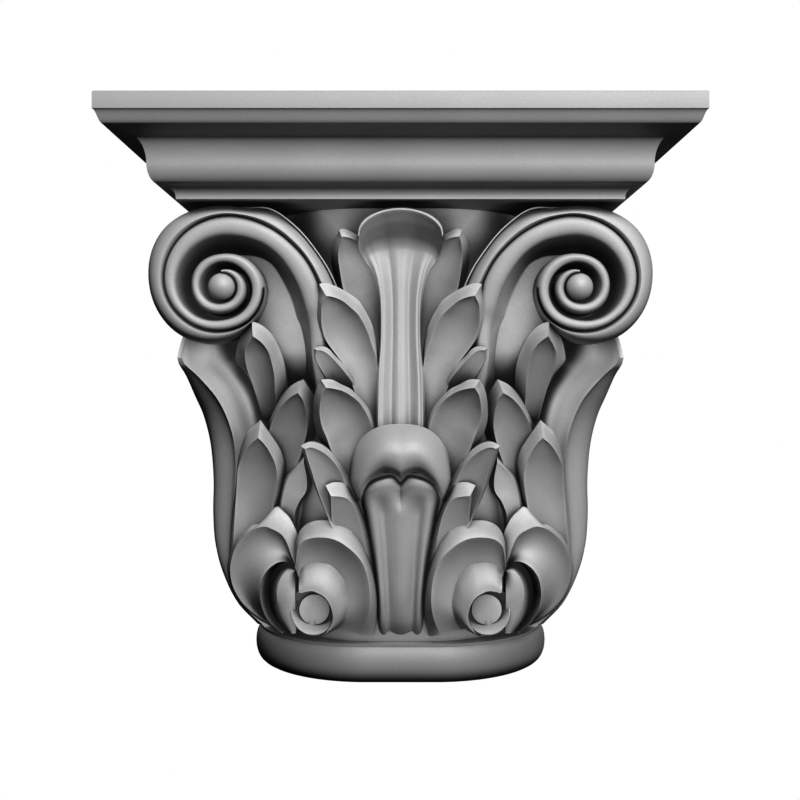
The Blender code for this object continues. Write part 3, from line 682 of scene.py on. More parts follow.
@dataclass(frozen=True)
class Station:
    """One cross-section of the volute's stem: its four lines as (x, z) and its depths."""

    outer: Flat
    groove: Flat
    edge: Flat
    foot: Flat
    crest: float
    floor: float


@dataclass
class Volute:
    """The scroll under each corner of the abacus."""

    eye: Flat = (122.8, 278.9)
    eye_radius: float = 9.8
    eye_root: float = -30.0
    eye_side: float = -42.0
    eye_front: float = -51.5
    eye_steps: int = 8
    eye_pole: float = 0.4
    eye_sides: int = 40
    bolster_sides: int = 72
    bolster_lift: float = 58.0
    root: float = 52.0
    scroll_root: float = -12.0
    root_step: float = 1.0
    steps: int = 10
    sink: float = 16.0
    sink_span: Flat = (0.8, 3.2)
    band_depth: float = 13.0
    band_saving: float = 3.0
    band_flat: float = 0.17
    band_end: float = 0.8
    band_lip: float = 2.4
    lip_span: Flat = (0.09, 0.14)
    valley_depth: float = 4.2
    valley_power: float = 1.6
    tuck: Flat = (1.15, 6.0)
    roll_side: float = 4.0
    roll_side_late: float = 5.5
    roll_tuck: float = 6.0
    late_span: Flat = (0.6, 2.2)
    crown_width: float = 0.55
    crown_power: float = 2.4
    crown_drop: float = 3.4
    crown_steps: int = 12
    channel_power: float = 1.15
    channel_steps: int = 10
    roll_shares: tuple[float, ...] = (
        0.0, 0.04, 0.08, 0.11, 0.14, 0.17, 0.21, 0.26, 0.33, 0.42, 0.52, 0.62, 0.72, 0.8, 0.87,
        0.94, 1.0,
    )
    stem: tuple[Station, ...] = (
        Station((36.5, 205), (47, 205), (59, 205), (66, 205), -27, -12),
        Station((37, 232), (48, 232), (61.7, 232), (68.3, 232), -32, -15),
        Station((38.2, 254), (50.2, 254), (63.5, 256), (72, 256), -34, -18),
        Station((42, 274), (53, 269), (66, 266.5), (74.5, 265.5), -37, -20),
        Station((48.8, 290.5), (58, 285), (70.5, 280.5), (79.3, 278.5), -39, -21),
        Station((59.5, 307), (65, 297.8), (76.2, 291), (84.4, 288), -40, -21),
        Station((74, 323.3), (76, 310), (84, 301), (91, 297), -41, -21),
        Station((90, 334), (91, 320.6), (95, 309.4), (101, 302), -42, -21),
        Station((106.5, 335.2), (107, 326.8), (109, 314.2), (111.5, 303), -42, -21),
    )
    outer: tuple[float, ...] = (57.2, 59.0, 51.9, 45.0, 37.7, 31.8, 29.0)
    groove: tuple[float, ...] = (
        49.2, 44.9, 40.2, 34.2, 30.8, 30.4, 29.6, 26.8, 23.7, 23.4, 22.0, 21.0, 19.3, 18.4, 17.4,
        14.9, 12.0,
    )
    edge: tuple[float, ...] = (
        36.5, 34.4, 32.0, 27.2, 22.7, 21.9, 20.6, 18.4, 17.2, 16.0, 15.1, 13.2, 11.5, 11.0, 10.5,
        10.0, 9.6,
    )
    foot: tuple[float, ...] = (
        24.0, 23.8, 22.4, 21.4, 19.8, 18.9, 17.9, 15.4, 12.6, 11.2, 10.2, 9.9, 9.6, 9.5, 9.4, 9.3,
        9.2,
    )
    crests: tuple[float, ...] = (
        -42, -42, -42, -42.5, -43, -43.5, -44, -44.5, -45, -45, -45, -45.5, -46, -46, -46.5, -47,
        -47,
    )
    floors: tuple[float, ...] = (
        -21, -21, -21, -23, -26, -28, -30, -32, -34, -35, -36, -37, -38, -39, -40, -41, -42,
    )
    bolster: tuple[float, ...] = (57.0, 58.0, 50.8, 43.8, 36.5, 38.0, 42.0, 50.0)
    bolster_profile: tuple[Flat, ...] = (
        (-16, 0.965), (-14, 0.965), (-8, 0.95), (0, 0.92), (14, 0.89), (28, 0.868), (33, 0.87),
        (36, 0.915), (40, 0.935), (44, 0.94), (48, 0.935), (52, 0.915), (55, 0.87), (60, 0.868),
        (74, 0.89), (88, 0.935), (99.0, 0.98),
    )

    def around(self, radius: float, turn: float) -> Flat:
        """Return the point at a radius and a number of quarter turns from the top."""
        angle = math.pi / 2 * turn
        return self.eye[0] + radius * math.sin(angle), self.eye[1] + radius * math.cos(angle)

    def course(self, stem: Sequence[Flat], radii: Sequence[float]) -> list[Vector]:
        """Join a line of the stem to its line round the eye, as one smooth spiral."""
        polar = []
        for x, z in stem:
            across, up = x - self.eye[0], z - self.eye[1]
            polar.append(Vector((math.hypot(across, up), math.atan2(across, up) * 2 / math.pi, 0)))
        polar += [Vector((radius, i / 2, 0)) for i, radius in enumerate(radii)]
        points = []
        for i in range((len(polar) - 1) * self.steps + 1):
            radius, turn, _ = catmull(polar, i / self.steps)
            x, z = self.around(radius, turn)
            points.append(Vector((x, 0, z)))
        return points

    def roots(self, count: int) -> list[float]:
        """Return the depth of the band's back at each station: behind the bell, then in the bolster."""
        last = len(self.stem) - 1
        return [self.root + (self.scroll_root - self.root) * step_between(last - 2, last, i / self.steps)
                for i in range(count)]

    def depths(self, stem: Sequence[float], scroll: Sequence[float], count: int) -> list[float]:
        """Read the depths of a line at as many stations as it has points."""
        values = [Vector((v, 0, 0)) for v in (*stem, *scroll)]
        return [catmull(values, i / self.steps).x for i in range(count)]

    def outer_roll(self) -> Grid:
        """Draw the quarter-round band along the outside of the scroll."""
        outer = self.course([s.outer for s in self.stem], self.outer)
        inner = self.course([s.groove for s in self.stem], self.groove[:len(self.outer)])
        crest = self.depths([s.crest for s in self.stem], self.crests, len(outer))
        grid = []
        for k, (o, g, y) in enumerate(zip(outer, inner, crest)):
            y += self.sink * (1 - step_between(*self.sink_span, k / self.steps))
            row = []
            plain = 1 - step_between(len(self.stem) - 2, len(self.stem), k / self.steps)
            start = self.band_flat * plain
            for u in self.roll_shares:
                share = min(max((u - start) / (self.band_end - start), 0.0), 1.0)
                depth = self.band_depth - self.band_saving * plain
                drop = depth * (1 - math.sqrt(1 - (1 - share) ** 2))
                past = max(0.0, (u - self.band_end) / (1 - self.band_end))
                drop += self.valley_depth * past ** self.valley_power
                drop -= self.band_lip * plain * (1 - step_between(*self.lip_span, u))
                p = o.lerp(g, u)
                row.append(Vector((p.x, y + drop, p.z)))
            p = o.lerp(g, self.tuck[0])
            row.append(Vector((p.x, y + self.tuck[1], p.z)))
            grid.append(row)
        return grid

    def inner_roll(self) -> Grid:
        """Draw the round band that winds to the eye, with the hollow beside it."""
        outer = self.course([s.groove for s in self.stem], self.groove)
        edge = self.course([s.edge for s in self.stem], self.edge)
        foot = self.course([s.foot for s in self.stem], self.foot)
        crest = self.depths([s.crest for s in self.stem], self.crests, len(outer))
        floor = self.depths([s.floor for s in self.stem], self.floors, len(outer))
        grid = []
        for k, (o, e, f, y, base) in enumerate(zip(outer, edge, foot, crest, floor)):
            late = step_between(*self.late_span, (k / self.steps - len(self.stem)) / 2)
            side = self.roll_side + self.roll_side_late * late
            side += self.sink * (1 - step_between(*self.sink_span, k / self.steps))
            row = [Vector((o.x, y + side + self.roll_tuck * late, o.z))]
            for i in range(1, self.crown_steps + 1):
                u = i / self.crown_steps
                if u < 0.5:
                    drop = side * (1 - math.sqrt(max(0.0, 1 - (1 - 2 * u) ** 2)))
                else:
                    over = ((u - 0.5) / self.crown_width) ** self.crown_power
                    drop = self.crown_drop * (1 - math.sqrt(max(0.0, 1 - over)))
                p = o.lerp(e, u)
                row.append(Vector((p.x, y + drop, p.z)))
            lip = row[-1].y
            for i in range(1, self.channel_steps + 1):
                u = i / self.channel_steps
                p = e.lerp(f, u)
                fall = 1 - (1 - u) ** self.channel_power
                row.append(Vector((p.x, lip + (base - lip) * fall, p.z)))
            grid.append(row)
        return grid

    def rings_of(self, profile: Sequence[Flat], radius: Callable[[float], float],
                 sides: int, lift: float) -> list[list[Vector]]:
        """Draw upright rings about the eye, one for each (depth, scale) of a profile."""
        rings = []
        for y, scale in profile:
            ring = []
            for i in range(sides):
                turn = 4 * i / sides
                x, z = self.around(radius(turn) * scale, turn)
                ring.append(Vector((x, y, z + (1 - scale) * lift)))
            rings.append(ring)
        return rings

    def dome(self) -> list[Flat]:
        """Return the eye's profile as (depth, scale)."""
        profile = [(self.eye_root, 1.0), (self.eye_side, 1.0)]
        for i in range(1, self.eye_steps + 1):
            angle = math.pi / 2 * i / (self.eye_steps + self.eye_pole)
            profile.append((self.eye_side + (self.eye_front - self.eye_side) * math.sin(angle),
                            math.cos(angle)))
        return profile

    def bolster_radius(self, turn: float) -> float:
        """Return the radius of the bolster at a number of quarter turns."""
        values = [Vector((v, 0, 0)) for v in (*self.bolster[-2:], *self.bolster, *self.bolster[:3])]
        return catmull(values, 2 + (turn % 4) * 2).x

    def build(self, stone: bpy.types.Material) -> None:
        """Carve both volutes with their eyes and bolsters.

        Args:
            stone: Its finish.
        """
        outer, inner = self.outer_roll(), self.inner_roll()
        carve_sheet("volute_outer_roll", stone, Halves.BOTH, outer, self.roots(len(outer)))
        nearer = [depth - self.root_step for depth in self.roots(len(inner))]
        carve_sheet("volute_inner_roll", stone, Halves.BOTH, inner, nearer)
        eye = self.rings_of(self.dome(), lambda turn: self.eye_radius, self.eye_sides, 0.0)
        carve_rings("volute_eye", stone, eye)
        bolster = self.rings_of(self.bolster_profile, self.bolster_radius, self.bolster_sides,
                                self.bolster_lift)
        carve_rings("bolster", stone, bolster)


@dataclass
class ScrollField:
    """The smooth ground between the volute and its stem."""

    front: float = -18.5
    lean: float = 40.0
    lean_span: Flat = (176, 236)
    root: float = 60.0
    rows: int = 40
    columns: int = 10
    inner: Rail = ((64, 176), (62, 208), (62, 236), (64, 257), (68, 271), (73, 284), (82, 299),
                   (98, 312), (112, 318))
    outer: Rail = ((92, 176), (92, 205), (92, 222), (97, 240), (112, 248), (128, 252), (142, 262),
                   (142, 300), (128, 318))

    def build(self, stone: bpy.types.Material) -> None:
        """Carve the ground, leaning back at its foot behind the leaves.

        Args:
            stone: Its finish.
        """
        near = rail(self.inner, (self.front, self.front), self.rows)
        far = rail(self.outer, (self.front, self.front), self.rows)
        grid = []
        for a, b in zip(near, far):
            row = []
            for i in range(self.columns + 1):
                p = a.lerp(b, i / self.columns)
                back = self.lean * (1 - step_between(*self.lean_span, p.z))
                row.append(Vector((p.x, p.y + back, p.z)))
            grid.append(row)
        carve_sheet("scroll_field", stone, Halves.BOTH, grid, self.root)


@dataclass(frozen=True)
class Level:
    """One level of a stalk: height, half width, front, strength of its flutes and fall of its sides."""

    height: float
    half: float
    front: float
    power: float = 1.0
    arch: float = 0.0
    notch: float = 0.0


@dataclass
class Stalk:
    """The fluted stalk under the abacus and the ribbed one below the boss."""

    upper: tuple[Level, ...] = (
        Level(150, 16, -30), Level(168, 16.5, -30), Level(185, 17, -29), Level(215, 16.5, -26),
        Level(245, 14.8, -23), Level(270, 15, -21.5, 1, 1), Level(285, 17, -21, 1, 3),
        Level(296, 19.8, -20.5, 0.9, 5), Level(304, 23, -20.5, 0.75, 8),
        Level(309, 25, -21.5, 0.6, 10), Level(314, 27, -25, 0.5, 12),
        Level(319, 28.3, -31, 0.4, 14.5), Level(324, 29, -37, 0.3, 16.5),
        Level(328, 29, -41, 0.2, 17.5), Level(331, 28.5, -44, 0.1, 18),
    )
    lower: tuple[Level, ...] = (
        Level(27, 16, 0, 0.3), Level(36, 16.5, -11, 0.5), Level(46, 17, -19, 0.8),
        Level(62, 18, -25), Level(82, 20, -29), Level(100, 22, -32), Level(118, 25, -35),
        Level(130, 27, -37.5, 1, 2, 1), Level(138, 27.5, -40, 1, 6, 2.5),
        Level(144, 27.5, -42, 1, 10, 4), Level(148.5, 27.5, -41, 1, 13.5, 5.5),
        Level(149.5, 27, -35, 0.8, 13.5, 5.5),
    )
    upper_form: tuple[float, ...] = (1.3, 1.3, 0.9, 0.1, -0.7, -0.3, 0.7, 1.9, 3.0, 3.0, 3.6, 1.5)
    lower_form: tuple[float, ...] = (2.0, 1.9, 1.4, 0.7, -0.2, -1.0, -0.4, 1.4, 2.2, 1.4, -1.5, -7.0)
    lobed_form: tuple[float, ...] = (-3.0, -0.6, 1.3, 2.4, 2.9, 3.0, 2.8, 2.4, 1.6, 0.4, -1.6, -5.0)
    columns: int = 84
    steps: int = 6
    notch_width: float = 0.13
    lobes_span: float = 18.0
    lobes_from: float = 122.0
    lip: tuple[Flat, ...] = ((-0.6, 0.9), (-0.5, 1.9), (0.4, 2.7), (2.0, 3.1), (4.5, 3.2))
    lip_spread: float = 0.012
    lip_end: tuple[float, float, float] = (1.02, -8.0, 3.0)
    upper_root: float = 26.0
    lower_root: float = 24.0

    def grid(self, levels: Sequence[Level], form: Sequence[float], lobes: float) -> Grid:
        """Draw a stalk's front.

        Args:
            levels: Its levels, upwards.
            form: How far it stands out, at even shares from its middle to its edge.
            lobes: The height over which the flutes turn into the two lobes at the top.

        Returns:
            Rows of points.
        """
        course = [Vector((v.height, v.half, v.front)) for v in levels]
        shape = [Vector((v.power, v.arch, v.notch)) for v in levels]
        grid = []
        for j in range((len(levels) - 1) * self.steps + 1):
            z, half, front = catmull(course, j / self.steps)
            power, arch, notch = catmull(shape, j / self.steps)
            lobed = step_between(lobes, lobes + self.lobes_span, z)
            row = []
            for i in range(self.columns + 1):
                share = 2 * i / self.columns - 1
                lift = smooth_value(form, abs(share)) * (1 - lobed)
                lift += smooth_value(self.lobed_form, abs(share)) * lobed
                fall = arch * (1 - math.sqrt(max(0.0, 1 - share ** 2)))
                fall += notch * math.exp(-(share / self.notch_width) ** 2)
                row.append(Vector((share * half, front - power * lift, z - fall)))
            grid.append(row)
        return grid

    def hood(self) -> Grid:
        """Draw the upper stalk with the lip of the hood and the slope behind it."""
        grid = self.grid(self.upper, self.upper_form, BLOCK.height)
        last = grid[-1]
        for behind, up in self.lip:
            grid.append([Vector((p.x * (1 + up * self.lip_spread), p.y + behind, p.z + up)) for p in last])
        spread, y, up = self.lip_end
        grid.append([Vector((p.x * spread, y, p.z + up)) for p in last])
        return grid

    def build(self, stone: bpy.types.Material) -> None:
        """Carve both stalks.

        Args:
            stone: Its finish.
        """
        carve_sheet("upper_stalk", stone, Halves.WHOLE, self.hood(), self.upper_root)
        lower = self.grid(self.lower, self.lower_form, self.lobes_from)
        carve_sheet("lower_stalk", stone, Halves.WHOLE, lower, self.lower_root)


@dataclass
class Boss:
    """The rolled leaf end that hangs over the lower stalk, with its two corners drawn down."""

    columns: int = 72
    rows: int = 36
    top: float = 184.5
    shoulder: float = 147.0
    half: float = 35.5
    tip_half: float = 29.4
    side_depth: float = -30.0
    lip: tuple[float, ...] = (148.6, 150.8, 152.0, 151.4, 148.6, 144.8, 139.5, 134.0, 130.4)
    fronts: tuple[float, ...] = (-54, -59, -61, -61.9, -62, -61, -59, -55.5, -50.5, -44)
    dimple: float = 2.2
    dimple_at: float = 0.42
    dimple_size: Flat = (0.24, 0.2)
    row_power: float = 1.25
    roof_power: float = 2.6
    roof_root: float = 0.45
    drawn_power: float = 1.3
    rim_power: float = 0.7
    root: float = 22.0

    def grid(self) -> Grid:
        """Draw the boss from its lip to its top."""
        tip = self.lip[-1]
        grid = []
        for j in range(self.rows + 1):
            high = (j / self.rows) ** self.row_power
            row = []
            for i in range(self.columns + 1):
                share = math.sin(math.pi / 2 * (2 * i / self.columns - 1))
                low = smooth_value(self.lip, abs(share))
                arch = max(0.0, 1 - abs(share) ** self.roof_power) ** self.roof_root
                roof = self.shoulder + (self.top - self.shoulder) * arch
                z = low + (roof - low) * high
                drawn = max(0.0, (self.shoulder - z) / (self.shoulder - tip)) ** self.drawn_power
                half = self.half - (self.half - self.tip_half) * drawn
                rim = math.sqrt(max(0.0, 1 - share ** 2))
                front = smooth_value(self.fronts, high)
                away = ((abs(share) - self.dimple_at) / self.dimple_size[0]) ** 2
                away += (high / self.dimple_size[1]) ** 2
                y = self.side_depth + (front - self.side_depth) * rim ** self.rim_power
                y += self.dimple * math.exp(-away)
                row.append(Vector((share * half, y, z)))
            grid.append(row)
        return grid

    def build(self, stone: bpy.types.Material) -> None:
        """Carve the boss.

        Args:
            stone: Its finish.
        """
        carve_sheet("boss", stone, Halves.WHOLE, self.grid(), self.root)


@dataclass
class Eyelet:
    """The eye between the two curls: a disc in a round groove, whose rim stands out at its foot."""

    centre: Flat = (60.4, 54.2)
    hole: float = 11.0
    rim: float = 16.6
    ground: float = -8.0
    floor: float = -23.5
    rise: float = 25.0
    rise_towards: float = math.radians(-80)
    lip: Flat = (0.6, 1.02)
    foot_share: float = 0.62
    disc_gap: float = 0.5
    disc_crown: float = 0.3
    rise_power: float = 1.4
    pole: float = 0.4
    back: float = 20.0
    sides: int = 64

    def build(self, stone: bpy.types.Material) -> None:
        """Turn the eyelet about its own axis.

        Args:
            stone: Its finish.
        """
        rings = []
        disc, crown = self.hole - self.disc_gap, self.floor - self.disc_crown
        lip, reach = self.lip
        section = (
            (self.rim, 0.0, self.back),
            (self.rim, 1.0, self.ground),
            (self.rim - lip, reach, self.ground),
            (self.hole, self.foot_share, self.ground),
            (disc, 0.0, self.floor),
            (self.hole * 0.5, 0.0, crown),
            (self.pole, 0.0, crown),
        )
        for radius, lift, y in section:
            ring = []
            for i in range(self.sides):
                angle = 2 * math.pi * i / self.sides
                turned = 0.5 + 0.5 * math.cos(angle - self.rise_towards)
                rise = self.rise * turned ** self.rise_power
                ring.append(Vector((self.centre[0] + radius * math.cos(angle), y - rise * lift,
                                    self.centre[1] + radius * math.sin(angle))))
            rings.append(ring)
        carve_rings("eyelet", stone, rings)


class Tree:
    """Writes a node tree, one node at a time."""

    def __init__(self, tree: bpy.types.NodeTree) -> None:
        """Take a tree to write in.

        Args:
            tree: The tree.
        """
        self.tree = tree

    @classmethod
    def group(cls, name: str, kind: str) -> "Tree":
        """Start an empty group.

        Args:
            name: Its name.
            kind: GeometryNodeTree or ShaderNodeTree.

        Returns:
            The group's tree.
        """
        return cls(bpy.data.node_groups.new(name, kind))

    def socket(self, name: str, kind: str, default: float | None = None, out: bool = False) -> None:
        """Give the tree a named input or output.

        Args:
            name: The socket's name.
            kind: Its type.
            default: The value that an input starts with.
            out: True for an output.
        """
        side = "OUTPUT" if out else "INPUT"
        made = self.tree.interface.new_socket(name=name, in_out=side, socket_type=kind)
        if default is not None:
            made.default_value = default

    def node(self, kind: str, inputs: dict[int | str, object] | None = None,
             **settings: object) -> bpy.types.Node:
        """Add a node.

        Args:
            kind: Its type.
            inputs: For each input, a value or the socket that feeds it.
            settings: Its own settings.

        Returns:
            The node.
        """
        made = self.tree.nodes.new(kind)
        for key, value in settings.items():
            setattr(made, key, value)
        for key, value in (inputs or {}).items():
            if isinstance(value, bpy.types.NodeSocket):
                self.tree.links.new(value, made.inputs[key])
            else:
                made.inputs[key].default_value = value
        return made

    def math(self, operation: str, a: object, b: object = 0.0, c: object = 0.0) -> bpy.types.NodeSocket:
        """Add a math node.

        Args:
            operation: What it does.
            a: Its first value or socket.
            b: Its second.
            c: Its third.

        Returns:
            The socket with its result.
        """
        return self.node("ShaderNodeMath", {0: a, 1: b, 2: c}, operation=operation).outputs[0]

    def near(self, value: object, target: object) -> bpy.types.NodeSocket:
        """Compare a whole number.

        Args:
            value: The number.
            target: What it is compared with.

        Returns:
            A socket that is 1 where they are the same, and 0 elsewhere.
        """
        return self.math("COMPARE", value, target, 0.1)

    def ramp(self, value: object, low: object, high: object, start: float = 0.0, end: float = 1.0,
             **settings: object) -> bpy.types.NodeSocket:
        """Map a range onto another.

        Args:
            value: The value or socket.
            low: Where the range starts.
            high: Where it ends.
            start: The result at its start.
            end: The result at its end.
            settings: The node's own settings.

        Returns:
            The socket with the result.
        """
        inputs = {"Value": value, "From Min": low, "From Max": high, "To Min": start, "To Max": end}
        return self.node("ShaderNodeMapRange", inputs, **settings).outputs[0]

    def scaled(self, colour: bpy.types.NodeSocket, by: bpy.types.NodeSocket) -> bpy.types.NodeSocket:
        """Make a colour lighter or darker.

        Args:
            colour: The colour.
            by: The factor.

        Returns:
            The socket with the result.
        """
        return self.node("ShaderNodeVectorMath", {0: colour, "Scale": by}, operation="SCALE").outputs[0]

    def blend(self, mask: bpy.types.NodeSocket, a: object, b: object) -> bpy.types.NodeSocket:
        """Blend two colours.

        Args:
            mask: 0 for the first and 1 for the second.
            a: The first colour.
            b: The second.

        Returns:
            The socket with the result.
        """
        return self.node("ShaderNodeMix", {0: mask, 6: a, 7: b}, data_type="RGBA").outputs[2]

    def by_camera(self, lit: bpy.types.Node, seen: bpy.types.Node, output: str) -> None:
        """Show the camera one shader, and give all other rays another.

        Args:
            lit: The shader for other rays.
            seen: The shader that the camera sees.
            output: The type of the output node.
        """
        path = self.node("ShaderNodeLightPath").outputs["Is Camera Ray"]
        mixed = self.node("ShaderNodeMixShader", {0: path, 1: lit.outputs[0], 2: seen.outputs[0]})
        self.node(output, {0: mixed.outputs[0]})


class Run:
    """Runs a profile round the block with a node tree."""

    def __init__(self, name: str, sizes: dict[str, float]) -> None:
        """Start the tree.

        Args:
            name: The tree's name.
            sizes: Its named sizes in millimetres.
        """
        self.sizes = sizes
        self.tree = Tree.group(name, "GeometryNodeTree")
        self.tree.socket("Geometry", "NodeSocketGeometry")
        for key, value in sizes.items():
            self.tree.socket(key, "NodeSocketFloat", value)
        self.tree.socket("Stone", "NodeSocketMaterial")
        self.tree.socket("Geometry", "NodeSocketGeometry", out=True)
        self.given = self.tree.node("NodeGroupInput")

    def stations(self, columns: object) -> tuple[bpy.types.Node, bpy.types.NodeSocket, bpy.types.Node]:
        """Lay out the profile at a number of stations.

        Args:
            columns: How many.

        Returns:
            The sheet, the number of each point's station and the profile's point there.
        """
        t = self.tree
        line = self.given.outputs["Geometry"]
        size = t.node("GeometryNodeAttributeDomainSize", {0: line}, component="MESH")
        rows = size.outputs["Point Count"]
        sheet = t.node("GeometryNodeMeshGrid", {"Vertices X": columns, "Vertices Y": rows})
        index = t.node("GeometryNodeInputIndex").outputs[0]
        station = t.math("FLOOR", t.math("DIVIDE", t.math("ADD", index, 0.25), rows))
        row = t.math("SUBTRACT", index, t.math("MULTIPLY", station, rows))
        place = t.node("GeometryNodeInputPosition").outputs[0]
        inputs = {"Geometry": line, "Value": place, "Index": t.math("ROUND", row)}
        sampled = t.node("GeometryNodeSampleIndex", inputs, data_type="FLOAT_VECTOR")
        return sheet, station, t.node("ShaderNodeSeparateXYZ", {0: sampled.outputs[0]})

    def close(self, sheet: bpy.types.Node, x: bpy.types.NodeSocket, y: bpy.types.NodeSocket,
              z: bpy.types.NodeSocket) -> None:
        """Move the sheet's points to their places, merge its seams and give it its stone.

        Args:
            sheet: The node that makes the sheet.
            x: The x of each point.
            y: Its y.
            z: Its z.
        """
        t = self.tree
        place = t.node("ShaderNodeCombineXYZ", {0: x, 1: y, 2: z}).outputs[0]
        moved = t.node("GeometryNodeSetPosition", {"Geometry": sheet.outputs["Mesh"], "Position": place})
        merged = t.node("GeometryNodeMergeByDistance", {"Geometry": moved.outputs[0], "Distance": SLIVER})
        real = t.node("GeometryNodeRealizeInstances", {0: merged.outputs[0]})
        dressed = t.node("GeometryNodeSetMaterial",
                         {"Geometry": real.outputs[0], "Material": self.given.outputs["Stone"]})
        t.node("NodeGroupOutput", {0: dressed.outputs[0]})

    def piece(self, name: str, profile: Sequence[tuple[float, float, float]],
              stone: bpy.types.Material) -> bpy.types.Object:
        """Run a profile and keep the result as a plain mesh.

        Args:
            name: The piece's name.
            profile: The points of the profile, from one closed end to the other.
            stone: Its finish.

        Returns:
            The object.
        """
        line = bpy.data.meshes.new(name)
        line.from_pydata(profile, [(i, i + 1) for i in range(len(profile) - 1)], [])
        obj = bpy.data.objects.new(name, line)
        bpy.context.scene.collection.objects.link(obj)
        run = obj.modifiers.new("run", "NODES")
        run.node_group = self.tree.tree
        for item in self.tree.tree.interface.items_tree:
            if item.in_out == "INPUT" and item.name in self.sizes:
                run[item.identifier] = self.sizes[item.name]
            elif item.in_out == "INPUT" and item.name == "Stone":
                run[item.identifier] = stone
        mesh = bpy.data.meshes.new_from_object(obj.evaluated_get(bpy.context.evaluated_depsgraph_get()))
        obj.modifiers.clear()
        shell = bmesh.new()
        shell.from_mesh(mesh)
        bmesh.ops.dissolve_degenerate(shell, edges=shell.edges, dist=SLIVER)
        bmesh.ops.recalc_face_normals(shell, faces=shell.faces)
        bmesh.ops.scale(shell, vec=(MM, MM, MM), verts=shell.verts)
        shell.to_mesh(mesh)
        shell.free()
        obj.data = mesh
        return dress(obj, stone)


def run_on_plan(name: str, steps: int, wall: float) -> Run:
    """Make the run that follows the round plan of the shaft.

    A profile point holds the half width, the front and the height there, and a half width of
    nothing closes the end.

    Args:
        name: The tree's name.
        steps: Steps round each corner.
        wall: The y at which it is cut off flat.

    Returns:
        The run.
    """
    run = Run(name, {"Plan Flat": BLOCK.plan_flat, "Plan Depth": BLOCK.plan_depth, "Wall": wall,
                     "Steps": float(steps)})
    t, given = run.tree, run.given.outputs
    middle = t.math("ADD", given["Steps"], 2.0)
    columns = t.math("ADD", t.math("MULTIPLY", middle, 2.0), 1.0)
    sheet, station, point = run.stations(columns)
    half, front, height = point.outputs
    away = t.math("SUBTRACT", station, middle)
    count = t.math("ABSOLUTE", away)
    reach = t.math("SUBTRACT", given["Wall"], front)
    depth = t.math("MAXIMUM", given["Plan Depth"], reach)
    last = t.math("ARCCOSINE", t.math("SUBTRACT", 1.0, t.math("DIVIDE", reach, depth)))
    share = t.math("DIVIDE", t.math("MAXIMUM", t.math("SUBTRACT", count, 1.0), 0.0), given["Steps"])
    angle = t.math("MULTIPLY", t.math("MINIMUM", share, 1.0), last)
    swing = t.math("MULTIPLY", t.math("SUBTRACT", half, given["Plan Flat"]), t.math("SINE", angle))
    x = t.math("MULTIPLY", t.math("SIGN", away), t.math("ADD", given["Plan Flat"], swing))
    y = t.math("ADD", front, t.math("MULTIPLY", depth, t.math("SUBTRACT", 1.0, t.math("COSINE", angle))))
    behind = t.math("MAXIMUM", t.near(count, middle), t.math("LESS_THAN", half, CLOSED))
    x = t.math("MULTIPLY", x, t.math("SUBTRACT", 1.0, behind))
    y = t.math("ADD", t.math("MULTIPLY", y, t.math("SUBTRACT", 1.0, behind)),
               t.math("MULTIPLY", given["Wall"], behind))
    run.close(sheet, x, y, height)
    return run


def run_mitred(name: str) -> Run:
    """Make the run that turns square corners, with mitres.

    A profile point holds the inset and the height there, and an inset of the whole half width
    closes the end.

    Args:
        name: The tree's name.

    Returns:
        The run.
    """
    run = Run(name, {"Half Width": BLOCK.half_width, "Front": BLOCK.wall, "Wall": BLOCK.wall})
    t, given = run.tree, run.given.outputs
    sheet, station, point = run.stations(MITRED_STATIONS)
    inset, _, height = point.outputs
    closed = t.math("GREATER_THAN", inset, t.math("SUBTRACT", given["Half Width"], CLOSED))
    left = t.math("ADD", t.near(station, 1.0), t.near(station, 2.0))
    right = t.math("ADD", t.near(station, 3.0), t.near(station, 4.0))
    x = t.math("MULTIPLY", t.math("SUBTRACT", right, left), t.math("SUBTRACT", given["Half Width"], inset))
    ahead = t.math("ADD", t.near(station, 2.0), t.near(station, 3.0))
    ahead = t.math("MULTIPLY", ahead, t.math("SUBTRACT", 1.0, closed))
    front = t.math("SUBTRACT", inset, given["Front"])
    y = t.math("ADD", t.math("MULTIPLY", front, ahead),
               t.math("MULTIPLY", given["Wall"], t.math("SUBTRACT", 1.0, ahead)))
    run.close(sheet, x, y, height)
    return run


@dataclass
class Bell:
    """The body behind the leaves, which flares to the abacus."""

    steps: int = 20
    wall: float = 99.6
    sections: tuple[tuple[float, float, float], ...] = (
        (4, 4, 98), (31, 5, 100), (45, 12, 106), (70, 18, 115), (98, 21, 121), (128, 22, 123),
        (160, 19, 122), (190, 12, 118), (220, 0, 112), (250, -10, 107), (275, -15, 104),
        (295, -14, 103), (315, -9, 103), (330, -3, 103), (339, 0, 103), (345, 0, 103),
    )

    def build(self, stone: bpy.types.Material) -> None:
        """Turn the body on the plan of the shaft.

        Args:
            stone: Its finish.
        """
        front = BLOCK.shaft_front
        profile = [(half, front - swell, z) for z, swell, half in self.sections]
        profile = [(0.0, front, self.sections[0][0]), *profile, (0.0, front, self.sections[-1][0])]
        run_on_plan("bell_run", self.steps, self.wall).piece("bell", profile, stone)


def arc(inset: float, height: float, across: float, down: float, steps: int, hollow: bool) -> list[Flat]:
    """Draw a quarter of an oval of a moulding, going inwards and down.

    Args:
        inset: The inset where it starts.
        height: The height there.
        across: How far it goes inwards.
        down: How far it goes down.
        steps: Its steps.
        hollow: True where it starts level and ends upright, False for the other way round.

    Returns:
        Points of (inset, height), without the first.
    """
    points = []
    for i in range(1, steps + 1):
        angle = math.pi / 2 * i / steps
        fast, slow = math.sin(angle), 1 - math.cos(angle)
        share, fall = (fast, slow) if hollow else (slow, fast)
        points.append((inset + across * share, height - down * fall))
    return points


